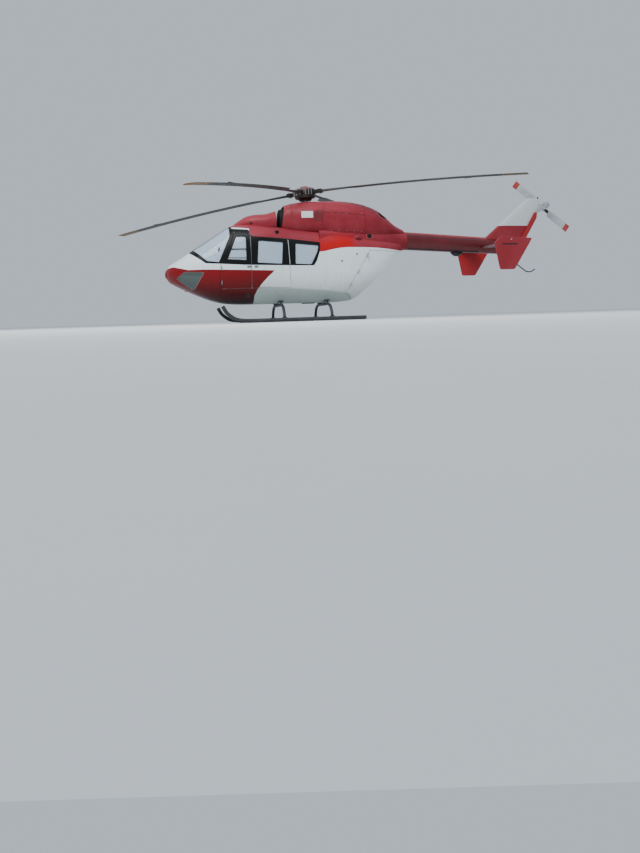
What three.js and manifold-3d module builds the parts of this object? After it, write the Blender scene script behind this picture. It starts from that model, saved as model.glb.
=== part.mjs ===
// A light twin-engined rescue helicopter on skids, in millimetres, +Z up, nose towards -X.
// Stations run aft from the nose, +Y is starboard, and Z = 0 is the ground under the skids.
import * as THREE from 'three';
import { mergeVertices } from 'three/addons/utils/BufferGeometryUtils.js';
import Module from 'manifold-3d';

const wasm = await Module();
wasm.setup();

// Main sizes
const ROTOR_RADIUS = 5500;
const ROTOR_STATION = 3400;
const ROTOR_HEIGHT = 3200;
const MAST_TILT = THREE.MathUtils.degToRad(4.4);
const BLADE_DROOP = THREE.MathUtils.degToRad(1.6);
const BLADE_SAG = 211;
const BLADE_AZIMUTH = THREE.MathUtils.degToRad(-32.5);
const BLADE_CHORD = 320;
const TAIL_ROTOR = { station: 9920, side: 300, height: 2900, radius: 978, chord: 200 };
const TAIL_ROTOR_ANGLE = THREE.MathUtils.degToRad(38);
const NOSE_X = -4710.6;

// Walls and clearances
const GAP = 0.3;
const DOOR_GAP = 6;
const PANEL_WALL = 35;
const FRAME_WALL = 80;
const GLASS = 6;
const GLASS_INSET = 12;
const JAMB = 32;
const FAR = 1400;

// Cabin and rear pod: station, bottom, top, half width, squareness above and below the middle
const POD = [
  [-20, 1120, 1310, 95, 2, 2],
  [40, 1030, 1400, 260, 2, 2.1],
  [150, 955, 1485, 410, 2.1, 2.3],
  [330, 860, 1590, 540, 2.2, 2.5],
  [610, 725, 1780, 660, 2.3, 2.8],
  [930, 590, 1985, 735, 2.4, 3.1],
  [1230, 500, 2178, 775, 2.6, 3.4],
  [1530, 460, 2350, 790, 3, 3.8],
  [1800, 450, 2380, 795, 3.5, 4],
  [2700, 450, 2310, 795, 3.6, 4],
  [3600, 450, 2230, 790, 3.6, 4],
  [4200, 460, 2170, 775, 3.6, 3.8],
  [4500, 515, 2130, 735, 3.4, 3.4],
  [4800, 725, 2090, 670, 3.2, 3],
  [5100, 983, 2050, 580, 3, 2.8],
  [5400, 1260, 2010, 455, 2.8, 2.6],
  [5700, 1560, 1970, 300, 2.6, 2.4],
  [5890, 1745, 1940, 190, 2.2, 2.2],
];
// Stations of the pod's rings, close together where it turns quickest
const POD_CUTS = [
  -20, 5, 50, 120, 220, 350, 500, 680, 880, 1100, 1340, 1600, 1850, 2900,
  4000, 4300, 4600, 4900, 5250, 5600, 5890,
];
const POD_SIDES = 26;

// Engine deck and boom root, same columns as the pod
const DECK = [
  [3620, 1700, 2240, 720, 4, 4],
  [4000, 1700, 2270, 620, 4, 3.6],
  [4600, 1690, 2270, 560, 3.6, 3.2],
  [5100, 1680, 2260, 460, 3, 3],
  [5500, 1690, 2240, 350, 2.6, 2.6],
  [5800, 1725, 2215, 270, 2.2, 2.2],
  [5960, 1740, 2200, 230, 2, 2],
];
// Fairing over the controls, ahead of the air intakes
const FRONT_FAIRING = [
  [1600, 2200, 2400, 160, 2.2, 2.2],
  [1740, 2170, 2495, 290, 2.4, 2.4],
  [1880, 2150, 2580, 375, 2.6, 2.6],
  [2060, 2120, 2630, 440, 2.8, 2.8],
  [2400, 2100, 2660, 470, 2.8, 2.8],
  [2620, 2100, 2730, 440, 2.6, 2.6],
];
// Cowling over the gearbox and the engines
const COWLING = [
  [2710, 2080, 2815, 450, 2.6, 3],
  [2950, 2050, 2890, 560, 2.6, 3],
  [3260, 2020, 2940, 615, 2.7, 3],
  [3700, 1980, 2960, 635, 2.8, 3],
  [4300, 1930, 2960, 630, 2.8, 3],
  [4780, 1930, 2890, 580, 2.7, 3],
  [5200, 1980, 2730, 480, 2.6, 2.8],
  [5420, 2010, 2560, 400, 2.5, 2.6],
  [5640, 2060, 2375, 295, 2.4, 2.4],
  [5780, 2070, 2300, 225, 2.3, 2.3],
  [5900, 2080, 2243, 165, 2.2, 2.2],
];
// Tail boom, same columns, with the drive shaft's cover along its top and an aerial's pod below
const BOOM = [
  [5960.4, 1740, 2160, 230, 2, 2],
  [7400, 1660, 2060, 215, 2, 2],
  [8930, 1590, 1960, 190, 2, 2],
];
const SPINE = [
  [5960.4, 2050, 2200, 80, 3, 3],
  [7400, 1950, 2100, 75, 3, 3],
  [8150, 1900, 2046, 60, 3, 3],
];
const BOOM_POD = [
  [7185, 1655, 1700, 25, 2, 2],
  [7245, 1590, 1720, 75, 2, 2],
  [7355, 1560, 1720, 90, 2, 2],
  [7465, 1590, 1720, 75, 2, 2],
  [7525, 1650, 1700, 25, 2, 2],
];

// Side outlines, as station and height
const ROOF_LINE = [[1545, 2172], [3600, 1925], [4300, 1850], [4875, 1700], [5990, 1672]];
const WINDSCREEN = [
  [560, 1812], [925, 1475], [1205, 1437], [1475, 2060], [1475, 2330], [1330, 2500], [400, 2500],
];
const WINDSCREEN_FRAME = [[470, 1785], [905, 1412], [1250, 1375], [1555, 2085], [1555, 2600], [300, 2600]];
const CREW_DOOR = [[1262, 820], [1262, 1375], [1585, 2125], [1938, 2086], [1950, 1500], [1950, 820]];
const SLIDING_DOOR = [[1962, 820], [1962, 2084], [2835, 1978], [2880, 860], [2880, 820]];
const CREW_WINDOW = [[1395, 1500], [1612, 2060], [1850, 2045], [1850, 1470]];
const SLIDING_WINDOW = [[2090, 1410], [2130, 1955], [2725, 1905], [2690, 1375]];
const REAR_WINDOW = [[2995, 1370], [3010, 1875], [3585, 1820], [3545, 1650], [3395, 1350]];
const CHIN_WINDOW = [[210, 1090], [400, 1240], [860, 1215], [640, 830], [560, 800]];
// The rear door's lower seam lies square to its hinge line, so that it clears the belly as it swings
const CLAMSHELL = [[4212, 640], [4886, 1692], [5985, 1665], [5985, 300], [4742.7, 300]];
const SIDE_PANEL = [
  [1240.4, 800.4], [4307, 800.4], [4870, 1682], [4866, 1701.8], [4300, 1849.6], [3600, 1924.6],
  [1592, 2166], [1556.5, 2084], [1251.5, 1374], [1240.4, 1374.5],
];
const BELLY = [[1240.4, 380], [4606.9, 380], [4203.7, 638.2], [4307.3, 800], [1240.4, 800]];
// Band of the pod's skin that runs aft above the rear doors, under the engine deck
const SHOULDER = [[3700, 1906], [4875, 1700], [5990, 1672], [5990, 1790]];
const NOSE_BACK = 1240;
const ROOF_FRONT = 1555.4;
const ROOF_BACK = 3620;
const SKY = 2700;
const GLASS_POST = 28;
const FLOOR = { front: 620, low: 760, high: 800 };
// Vent on the roof's port ledge
const ROOF_VENT = { station: 2590, side: -660, radius: 46, low: 2100, high: 2205 };
const LUG = { half: 55, near: 380, far: 560, high: 560 };
const HOOK_PAD = { front: 3250, rear: 3550, half: 120, low: 430, high: 500 };

// Upper body, with the heavy masses as plain blocks
const COWL_WALL = 30;
const COWL_STEPS = 14;
const COWL_SIDES = 24;
const ENGINE = { front: 4120, rear: 4880, near: 40, far: 420, low: 2200, high: 2660 };
const EXHAUST = { near: 250, far: 330, low: 2400, high: 2700, station: 5560, radius: 120, wall: 8 };
// Air scoops on the engine deck's flanks: middle, and reach along, out and up
const SCOOP = { station: 4590, side: 560, height: 1985, along: 105, out: 48, up: 80 };
const GEARBOX = { front: 3140, rear: 3610, half: 260, low: 2100, high: 2760, boss: 140, bossLow: -700 };

// Seats: x from the front of the cushion, the back leans aft
const SEATS = [
  { name: 'pilot_seat_left', station: 1560, side: -360, width: 460 },
  { name: 'pilot_seat_right', station: 1560, side: 360, width: 460 },
  { name: 'cabin_bench', station: 3100, side: 0, width: 1200 },
];
const CUSHION = { depth: 440, low: 960, high: 1080 };
const SEAT_BACK = [[400, 1000], [520, 1000], [640, 1700], [540, 1700]];
const SEAT_BASE = { front: 60, rear: 400, margin: 60, high: 1000 };
const PANEL = [[1010, 1080], [1200, 1120], [1130, 1400], [1020, 1400]];
const PANEL_HALF = 560;
const PEDESTAL = { front: 1030, rear: 1200, half: 150, high: 1200 };

// Tail surfaces
const FIN = { low: 1690, high: 3075, frontLow: 7736, rearLow: 8986, frontHigh: 9380, rearHigh: 9820 };
const FIN_THICK = [110, 60];
const FIN_LAMP = { station: 9680, radius: 26, low: 3060, high: 3120 };
const STABILISER = { front: 7950, rear: 8400, height: 1770, half: 1334, thick: 55 };
const ENDPLATE = [[7980, 1120], [7850, 1790], [8030, 1950], [8860, 1890], [8370, 1120]];
const ENDPLATE_THICK = 30;
const STABILISER_ROOT = 60;
// Cover of the drive shaft up the rear of the fin, as height and reach behind the fin
const COVER = [[1700, 1], [1700, 90], [1900, 130], [2560, 130], [2700, 60], [2700, 1]];
const COVER_HALF = 45;
// Gearbox at the top of that shaft: its web around the rotor's axis, its drum and its output
const TAIL_GEAR = {
  base: 2700.4, foot: 70, web: 38, rear: 55, low: -75, high: 40, front: -70, top: 60, meet: 2900,
};
const TAIL_DRUM = { radius: 80, back: -60, front: -85, shaft: 34, shaftFrom: -100 };
const TAIL_HUB = { radius: 48, half: 60 };
const GUARD = [[8840, 1640], [8850, 1500], [9080, 1290], [9290, 1135], [9420, 1125], [9540, 1190]];
const GUARD_RADIUS = 16;

// Landing gear
const SKID_SIDE = 1205;
const SKID_RADIUS = 45;
const SKID_HEIGHT = 52;
const SKID_PATH = [
  [1230, 400], [1330, 235], [1510, 100], [1800, SKID_HEIGHT], [3200, SKID_HEIGHT], [4600, SKID_HEIGHT],
];
const SHOE = { front: 1790, rear: 4560, half: 36, high: 30 };
const CROSS_RADIUS = 36;
const CROSS_HEIGHT = 405;
const CROSS_PATH = [
  [1196, 112], [1130, 235], [950, 360], [640, CROSS_HEIGHT], [300, CROSS_HEIGHT], [0, CROSS_HEIGHT],
];
const CROSS_STATIONS = { front: 2650, rear: 3780 };
// Saddle that clamps a cross tube's end over the skid
const SADDLE = { half: 60, side: 52, rise: 75 };

// Hinges, each a knuckle of the door between two knuckles of the frame
const KNUCKLE = 13;
const KNUCKLE_HALF = 22;
const ARM_HALF = 5;
const CREW_AXIS = { station: 1256, side: 800 };
const CREW_HINGES = [960, 1290];
const REAR_AXIS = { low: [4212, 748, 640], top: [4886, 748, 1692] };
const REAR_HINGES = [0.2, 0.5, 0.88];
const CREW_SHIFT = { leaf: 20, frame: -10 };
const REAR_SHIFT = { leaf: 22, frame: -26 };

// Rotor head and blades, measured along the mast and along a blade
const HUB_PROFILE = [
  [0, -205], [150, -205], [175, -165], [240, -150], [265, -70], [265, 45], [225, 85], [125, 105],
  [110, 135], [60, 158], [0, 162],
];
const ARM = { from: 180, to: 330, half: 70, low: -48, high: 48 };
const MAST_RADIUS = 60;
const MAST_LOW = -330;
const HOLE_RADIUS = 150;
const BLADE_ROOT = 330.4;
// Along the blade: reach, chord, thickness, share of the chord ahead of the pitch axis
const BLADE = [
  [BLADE_ROOT, 110, 80, 0.5], [520, 95, 66, 0.5], [1050, 110, 50, 0.46], [1350, BLADE_CHORD, 40, 0.3],
  [2600, BLADE_CHORD, 38, 0.3], [4000, BLADE_CHORD, 36, 0.3], [ROTOR_RADIUS, BLADE_CHORD, 34, 0.3],
];
// Clamp of a blade's root, with its two bolts beside the pitch axis
const FITTING = { from: 345, to: 475, half: 74, rise: 50, bolt: 20, bolts: 410, apart: 38, bolted: 68 };
// Spider that pitches the tail blades: its stem, its bar and the links to the blades
const SPIDER = { stem: 22, bar: 160, thick: 12, out: 125, link: 8, links: 145 };
const TAIL_BLADE = [
  [45, 60, 44, 0.5], [240, 64, 40, 0.5], [300, TAIL_ROTOR.chord, 28, 0.42],
  [TAIL_ROTOR.radius, TAIL_ROTOR.chord, 22, 0.42],
];

// Finishes
const finish = (color, roughness, metalness = 0) =>
  new THREE.MeshStandardMaterial({ color, roughness, metalness });
const RED = finish(0x9e2f35, 0.45);
const WHITE = finish(0xd4dbd8, 0.4);
const BLACK = finish(0x16191c, 0.5);
const DARK = finish(0x2b2f2f, 0.6);
const METAL = finish(0x8c9093, 0.35, 0.8);
const CLEAR = new THREE.MeshStandardMaterial({
  color: 0xaabcc4, roughness: 0.1, transparent: true, opacity: 0.45,
});
const CLOTH = finish(0x3a3f45, 0.9);

const group = new THREE.Group();
const airframe = new THREE.Group();
airframe.position.set(NOSE_X, 0, 0);
group.add(airframe);

function toSolid(geometry) {
  const bare = geometry.clone();
  for (const name of Object.keys(bare.attributes)) {
    if (name !== 'position') bare.deleteAttribute(name);
  }
  const merged = mergeVertices(bare, 1e-3);
  const triVerts = new Uint32Array(merged.index.array);
  const vertProperties = new Float32Array(merged.attributes.position.array);
  return new wasm.Manifold(new wasm.Mesh({ numProp: 3, vertProperties, triVerts }));
}

function toGeometry(solid) {
  const mesh = solid.getMesh();
  const geometry = new THREE.BufferGeometry();
  geometry.setAttribute('position', new THREE.BufferAttribute(mesh.vertProperties, 3));
  geometry.setIndex(new THREE.BufferAttribute(mesh.triVerts, 1));
  return geometry;
}

function addPart(name, shape, material, parent = airframe) {
  const mesh = new THREE.Mesh(shape.isBufferGeometry ? shape : toGeometry(shape), material);
  mesh.name = name;
  parent.add(mesh);
  return mesh;
}

// A closed skin through rings of equal length, each end closed by a fan from its middle
function skin(rings) {
  const count = rings[0].length;
  const points = rings.flat();
  const faces = [];
  for (let r = 0; r < rings.length - 1; r += 1) {
    for (let i = 0; i < count; i += 1) {
      const a = r * count + i;
      const b = r * count + ((i + 1) % count);
      faces.push(a, b, b + count, a, b + count, a + count);
    }
  }
  const ends = [[rings[0], 0], [rings.at(-1), (rings.length - 1) * count]];
  ends.forEach(([ring, start], end) => {
    const middle = ring.reduce((sum, p) => sum.add(p), new THREE.Vector3()).divideScalar(count);
    const centre = points.push(middle) - 1;
    for (let i = 0; i < count; i += 1) {
      const a = start + i;
      const b = start + ((i + 1) % count);
      if (end === 0) faces.push(centre, b, a);
      else faces.push(centre, a, b);
    }
  });
  const geometry = new THREE.BufferGeometry().setFromPoints(points);
  geometry.setIndex(faces);
  return geometry;
}

// A ring across the machine: a rounded box whose corners follow |y|^n + |z|^n = 1
function crossRing([station, bottom, top, half, upper, lower], sides) {
  const middle = (bottom + top) / 2;
  const rise = (top - bottom) / 2;
  return Array.from({ length: sides }, (_, i) => {
    const angle = (2 * Math.PI * i) / sides;
    const c = Math.cos(angle);
    const s = Math.sin(angle);
    const power = 2 / (s >= 0 ? upper : lower);
    return new THREE.Vector3(
      station,
      half * Math.sign(c) * Math.abs(c) ** power,
      middle + rise * Math.sign(s) * Math.abs(s) ** power,
    );
  });
}

// The row of a table at one station, by a smooth curve through its rows
function rowAt(table, station) {
  const last = table.length - 2;
  let i = table.findIndex((row, k) => k <= last && station <= table[k + 1][0]);
  if (i < 0) i = last;
  const [p, q] = [table[i], table[i + 1]];
  const width = q[0] - p[0];
  const t = (station - p[0]) / width;
  return p.map((value, k) => {
    if (k === 0) return station;
    const slope = (a, b) => (b[k] - a[k]) / (b[0] - a[0]);
    const inner = slope(p, q);
    const before = i > 0 ? (slope(table[i - 1], p) + inner) / 2 : inner;
    const after = i < last ? (inner + slope(q, table[i + 2])) / 2 : inner;
    const h = [2 * t ** 3 - 3 * t * t + 1, t ** 3 - 2 * t * t + t, 3 * t * t - 2 * t ** 3, t ** 3 - t * t];
    return h[0] * value + h[1] * width * before + h[2] * q[k] + h[3] * width * after;
  });
}

// A body along the machine from a table, every wall moved in by an inset
function body(table, { inset = 0, steps = 12, sides = 24, openFront = false } = {}) {
  const from = openFront ? table[0][0] - 20 : table[0][0] + inset;
  const to = table.at(-1)[0] - inset;
  const rings = Array.from({ length: steps + 1 }, (_, i) => {
    const station = from + ((to - from) * i) / steps;
    const [, bottom, top, half, upper, lower] = rowAt(table, Math.max(station, table[0][0]));
    return crossRing([station, bottom + inset, top - inset, half - inset, upper, lower], sides);
  });
  return toSolid(skin(rings));
}

// The pod with every wall moved in by an inset, its end rings moved in too
function pod(inset) {
  const [first, last] = [POD_CUTS[0] + inset, POD_CUTS.at(-1) - inset];
  const inner = POD_CUTS.filter((station) => station > first + GAP && station < last - GAP);
  const rings = [first, ...inner, last].map((station) => {
    const [, bottom, top, half, upper, lower] = rowAt(POD, station);
    return crossRing([station, bottom + inset, top - inset, half - inset, upper, lower], POD_SIDES);
  });
  return toSolid(skin(rings));
}

// An outline of stations and heights carried across the machine from y0 to y1
function slab(outline, y0 = -FAR, y1 = FAR) {
  const shape = new THREE.Shape(outline.map(([x, z]) => new THREE.Vector2(x, z)));
  const geometry = new THREE.ExtrudeGeometry(shape, { depth: y1 - y0, bevelEnabled: false });
  geometry.rotateX(Math.PI / 2);
  geometry.translate(0, y1, 0);
  return toSolid(geometry);
}

function box(x0, x1, y0, y1, z0, z1) {
  const geometry = new THREE.BoxGeometry(x1 - x0, y1 - y0, z1 - z0);
  geometry.translate((x0 + x1) / 2, (y0 + y1) / 2, (z0 + z1) / 2);
  return toSolid(geometry);
}

// An outline moved outwards by a distance (inwards when negative), with mitred corners
function grow(outline, distance) {
  const area = outline.reduce((sum, [x, z], i) => {
    const [u, w] = outline[(i + 1) % outline.length];
    return sum + x * w - u * z;
  }, 0);
  const turn = Math.sign(area) * distance;
  return outline.map((point, i) => {
    const before = new THREE.Vector2(...outline.at(i - 1));
    const here = new THREE.Vector2(...point);
    const after = new THREE.Vector2(...outline[(i + 1) % outline.length]);
    const a = here.clone().sub(before).normalize();
    const b = after.clone().sub(here).normalize();
    const normal = new THREE.Vector2(a.y + b.y, -(a.x + b.x)).normalize();
    const stretch = turn / Math.max(0.35, normal.dot(new THREE.Vector2(a.y, -a.x)));
    return [here.x + normal.x * stretch, here.y + normal.y * stretch];
  });
}

// A rod of round section along a list of points with rounded bends
function rod(points, radius, steps = 24, sides = 12) {
  const through = points.map((p) => new THREE.Vector3(...p));
  const path = new THREE.CatmullRomCurve3(through, false, 'catmullrom', 0.3);
  const circle = new THREE.Shape();
  circle.absarc(0, 0, radius, 0, 2 * Math.PI);
  const geometry = new THREE.ExtrudeGeometry(circle, {
    steps, extrudePath: path, curveSegments: sides, bevelEnabled: false,
  });
  return toSolid(geometry);
}

// A cylinder between two points
function pin(from, to, radius, sides = 20, farRadius = radius) {
  const a = new THREE.Vector3(...from);
  const b = new THREE.Vector3(...to);
  const geometry = new THREE.CylinderGeometry(farRadius, radius, a.distanceTo(b), sides);
  geometry.translate(0, a.distanceTo(b) / 2, 0);
  const way = b.clone().sub(a).normalize();
  geometry.applyQuaternion(new THREE.Quaternion().setFromUnitVectors(new THREE.Vector3(0, 1, 0), way));
  geometry.translate(a.x, a.y, a.z);
  return toSolid(geometry);
}

// A wing ring: from the leading edge over one side to the trailing edge and back under
function wingRing({ at, along, across, chord, thick }, points = 16) {
  return Array.from({ length: points }, (_, i) => {
    const angle = (2 * Math.PI * i) / points;
    const reach = (1 - Math.cos(angle)) / 2;
    const depth = (thick / 2) * Math.sin(angle) ** 2 * (1.25 - 0.5 * reach) + thick * 0.06;
    const side = Math.sign(Math.round(Math.sin(angle) * 1e6));
    return at.clone().addScaledVector(along, chord * reach).addScaledVector(across, side * depth);
  });
}

// A closed body through rings, turned right side out whichever way they run
function loft(rings) {
  const geometry = skin(rings);
  const solid = toSolid(geometry);
  if (solid.volume() > 0) return solid;
  const index = geometry.index.array;
  for (let i = 0; i < index.length; i += 3) [index[i], index[i + 1]] = [index[i + 1], index[i]];
  return toSolid(geometry);
}

const X = new THREE.Vector3(1, 0, 0);
const Y = new THREE.Vector3(0, 1, 0);
const Z = new THREE.Vector3(0, 0, 1);
const SIDES = [['left', -1], ['right', 1]];
const outer = pod(0);
const outerPlus = pod(-GAP);
const doorInside = pod(PANEL_WALL);
const jambFace = pod(PANEL_WALL + DOOR_GAP);
const frameInside = pod(FRAME_WALL);
const glassShell = pod(GLASS_INSET).subtract(pod(GLASS_INSET + GLASS));
const frameShell = outer.subtract(frameInside);
const doorShell = outer.subtract(doorInside);
// The sliding door's inner face rests on the face of its jamb
const slidingShell = outer.subtract(pod(PANEL_WALL + DOOR_GAP - GAP));
const halfSlab = (outline, side, from = GLASS / 2) =>
  (side < 0 ? slab(outline, -FAR, -from) : slab(outline, from, FAR));
const ordered = (a, b) => [Math.min(a, b), Math.max(a, b)];

function addCabinShell() {
  const floor = box(FLOOR.front, NOSE_BACK, -FAR, FAR, FLOOR.low, FLOOR.high).intersect(outer);
  const nose = frameShell.intersect(box(-FAR, NOSE_BACK, -FAR, FAR, 0, SKY))
    .subtract(slab(grow(WINDSCREEN_FRAME, GAP))).subtract(slab(CHIN_WINDOW)).add(floor);
  addPart('nose', nose, RED);
  let frame = frameShell.intersect(slab(WINDSCREEN_FRAME));
  for (const [, side] of SIDES) frame = frame.subtract(halfSlab(WINDSCREEN, side, GLASS_POST));
  addPart('windscreen_frame', frame, BLACK);
  let belly = outer.intersect(slab(BELLY));
  for (const station of Object.values(CROSS_STATIONS)) {
    for (const [, side] of SIDES) {
      const [near, far] = ordered(side * LUG.near, side * LUG.far);
      belly = belly.add(box(station - LUG.half, station + LUG.half, near, far, CROSS_HEIGHT, LUG.high));
    }
    belly = belly.subtract(crossTube(station, CROSS_RADIUS + GAP));
  }
  const { front, rear, half, low, high } = HOOK_PAD;
  addPart('belly', belly.add(box(front, rear, -half, half, low, high)), WHITE);
  const [[x0, z0], [x1, z1]] = ROOF_LINE;
  const eaves = (x) => z0 + ((x - x0) * (z1 - z0)) / (x1 - x0);
  const roof = [[ROOF_FRONT, eaves(ROOF_FRONT)], [ROOF_BACK - GAP, eaves(ROOF_BACK)],
    [ROOF_BACK - GAP, SKY], [ROOF_FRONT, SKY]];
  const [from, to] = [ROOF_VENT.low, ROOF_VENT.high].map((z) => [ROOF_VENT.station, ROOF_VENT.side, z]);
  const vent = pin(from, to, ROOF_VENT.radius);
  addPart('roof', outer.intersect(slab(roof)).add(vent), WHITE);
}

function addSides() {
  for (const [name, side] of SIDES) {
    let panel = frameShell.intersect(halfSlab(SIDE_PANEL, side));
    for (const outline of [CREW_DOOR, SLIDING_DOOR]) {
      panel = panel.subtract(halfSlab(grow(outline, DOOR_GAP), side).subtract(jambFace))
        .subtract(halfSlab(grow(outline, -JAMB), side));
    }
    panel = panel.subtract(halfSlab(REAR_WINDOW, side));
    const pane = (outline) => glassShell.intersect(halfSlab(grow(outline, -GAP), side));
    const door = (shell, outline, window) => shell.intersect(halfSlab(outline, side))
      .subtract(halfSlab(window, side));
    const hingeZ = CREW_HINGES.map((z) => [CREW_AXIS.station, side * CREW_AXIS.side, z]);
    const crew = hinge(door(doorShell, CREW_DOOR, CREW_WINDOW), panel, hingeZ, Z, X, side, CREW_SHIFT);
    addPart(`crew_door_${name}`, crew.leaf, RED);
    addPart(`crew_window_${name}`, pane(CREW_WINDOW), CLEAR);
    addPart(`sliding_door_${name}`, door(slidingShell, SLIDING_DOOR, SLIDING_WINDOW), WHITE);
    addPart(`sliding_window_${name}`, pane(SLIDING_WINDOW), CLEAR);
    addPart(`rear_window_${name}`, pane(REAR_WINDOW), CLEAR);
    addPart(`chin_window_${name}`, pane(CHIN_WINDOW), CLEAR);
    const screen = glassShell.intersect(halfSlab(grow(WINDSCREEN, -GAP), side, GLASS_POST + GAP));
    addPart(`windscreen_${name}`, screen, CLEAR);
    const leaf = doorShell.intersect(halfSlab(CLAMSHELL, side));
    const line = new THREE.Vector3(...REAR_AXIS.top).sub(new THREE.Vector3(...REAR_AXIS.low));
    line.y = 0;
    const points = REAR_HINGES.map((t) => [
      REAR_AXIS.low[0] + line.x * t, side * REAR_AXIS.low[1], REAR_AXIS.low[2] + line.z * t,
    ]);
    const aft = Y.clone().cross(line.normalize());
    const rear = hinge(leaf, crew.frame, points, line, aft, side, REAR_SHIFT);
    addPart(`rear_door_${name}`, rear.leaf, WHITE);
    addPart(`cabin_side_${name}`, rear.frame, WHITE);
  }
}

// How far the skin stands out at a station and a height
function skinSide(station, z) {
  const [, bottom, top, half, upper, lower] = rowAt(POD, station);
  const share = (2 * z - bottom - top) / (top - bottom);
  const n = share > 0 ? upper : lower;
  return half * (1 - Math.abs(share) ** n) ** (1 / n);
}

// Hinges on one line: a knuckle of the leaf between two knuckles of the frame, each with an
// arm that reaches in through the skin, on the leaf's side of the line or on the frame's
function hinge(leaf, frame, points, line, aft, side, shifts) {
  let moving = leaf;
  let fixed = frame;
  const knuckle = (point, from, to, shift) => {
    const [a, b] = [from, to].map((d) => new THREE.Vector3(...point).addScaledVector(line, d));
    const inboard = -side * (Math.abs(point[1]) - skinSide(point[0], point[2]) + PANEL_WALL * 0.8);
    const tip = aft.clone().multiplyScalar(shift).addScaledVector(Y, inboard);
    const half = tip.clone().cross(line).normalize().multiplyScalar(ARM_HALF);
    const ring = (move) => [
      a.clone().add(half), b.clone().add(half), b.clone().sub(half), a.clone().sub(half),
    ].map((corner) => corner.add(move));
    return pin(a.toArray(), b.toArray(), KNUCKLE).add(loft([ring(new THREE.Vector3()), ring(tip)]));
  };
  for (const point of points) {
    moving = moving.add(knuckle(point, -KNUCKLE_HALF, KNUCKLE_HALF, shifts.leaf));
    fixed = fixed.add(knuckle(point, KNUCKLE_HALF + GAP, 2 * KNUCKLE_HALF, shifts.frame));
    fixed = fixed.add(knuckle(point, -2 * KNUCKLE_HALF, -KNUCKLE_HALF - GAP, shifts.frame));
  }
  return { leaf: moving, frame: fixed };
}

function addUpperBody() {
  const above = slab([...ROOF_LINE.slice(1), [ROOF_LINE.at(-1)[0], SKY], [ROOF_LINE[1][0], SKY]])
    .intersect(box(ROOF_BACK, ROOF_LINE.at(-1)[0], -FAR, FAR, 0, SKY));
  const shoulder = outer.intersect(slab(SHOULDER));
  let deck = body(DECK).add(shoulder).intersect(above);
  for (const [, side] of SIDES) {
    const scoop = new THREE.SphereGeometry(1, 14, 9).rotateX(Math.PI / 2)
      .scale(SCOOP.along, SCOOP.out, SCOOP.up).translate(SCOOP.station, side * SCOOP.side, SCOOP.height);
    deck = deck.add(toSolid(scoop));
  }
  addPart('engine_deck', deck, RED);
  const roofTop = outerPlus.add(body(DECK, { inset: -GAP }));
  addPart('front_fairing', body(FRONT_FAIRING).subtract(roofTop), RED);

  const hub = (point) => new THREE.Vector3(...point).applyAxisAngle(Y, -MAST_TILT)
    .add(new THREE.Vector3(ROTOR_STATION, 0, ROTOR_HEIGHT)).toArray();
  const hole = pin(hub([0, 0, MAST_LOW]), hub([0, 0, 0]), HOLE_RADIUS, 28);
  const cut = { steps: COWL_STEPS, sides: COWL_SIDES };
  const whole = body(COWLING, cut);
  let cowling = whole.subtract(body(COWLING, { ...cut, inset: COWL_WALL, openFront: true }))
    .subtract(roofTop).subtract(hole);
  for (const [name, side] of SIDES) {
    const from = [ENGINE.rear - 60, side * EXHAUST.near, EXHAUST.low];
    const to = [EXHAUST.station, side * EXHAUST.far, EXHAUST.high];
    const outside = pin(from, to, EXHAUST.radius);
    const bore = pin(from, to, EXHAUST.radius - EXHAUST.wall);
    const behind = box(ENGINE.rear + GAP, EXHAUST.station, -FAR, FAR, 0, SKY);
    addPart(`exhaust_${name}`, outside.intersect(whole).intersect(behind).subtract(bore), DARK);
    cowling = cowling.subtract(pin(from, to, EXHAUST.radius + GAP));
    const [y0, y1] = ordered(side * ENGINE.near, side * ENGINE.far);
    const block = box(ENGINE.front, ENGINE.rear, y0, y1, ENGINE.low, ENGINE.high).subtract(roofTop);
    addPart(`engine_${name}`, block, METAL);
  }
  addPart('engine_cowling', cowling, RED);
  const boss = pin(hub([0, 0, GEARBOX.bossLow]), hub([0, 0, MAST_LOW - GAP]), GEARBOX.boss);
  const block = box(GEARBOX.front, GEARBOX.rear, -GEARBOX.half, GEARBOX.half, GEARBOX.low, GEARBOX.high);
  addPart('main_gearbox', block.add(boss).subtract(roofTop), METAL);
}

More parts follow.
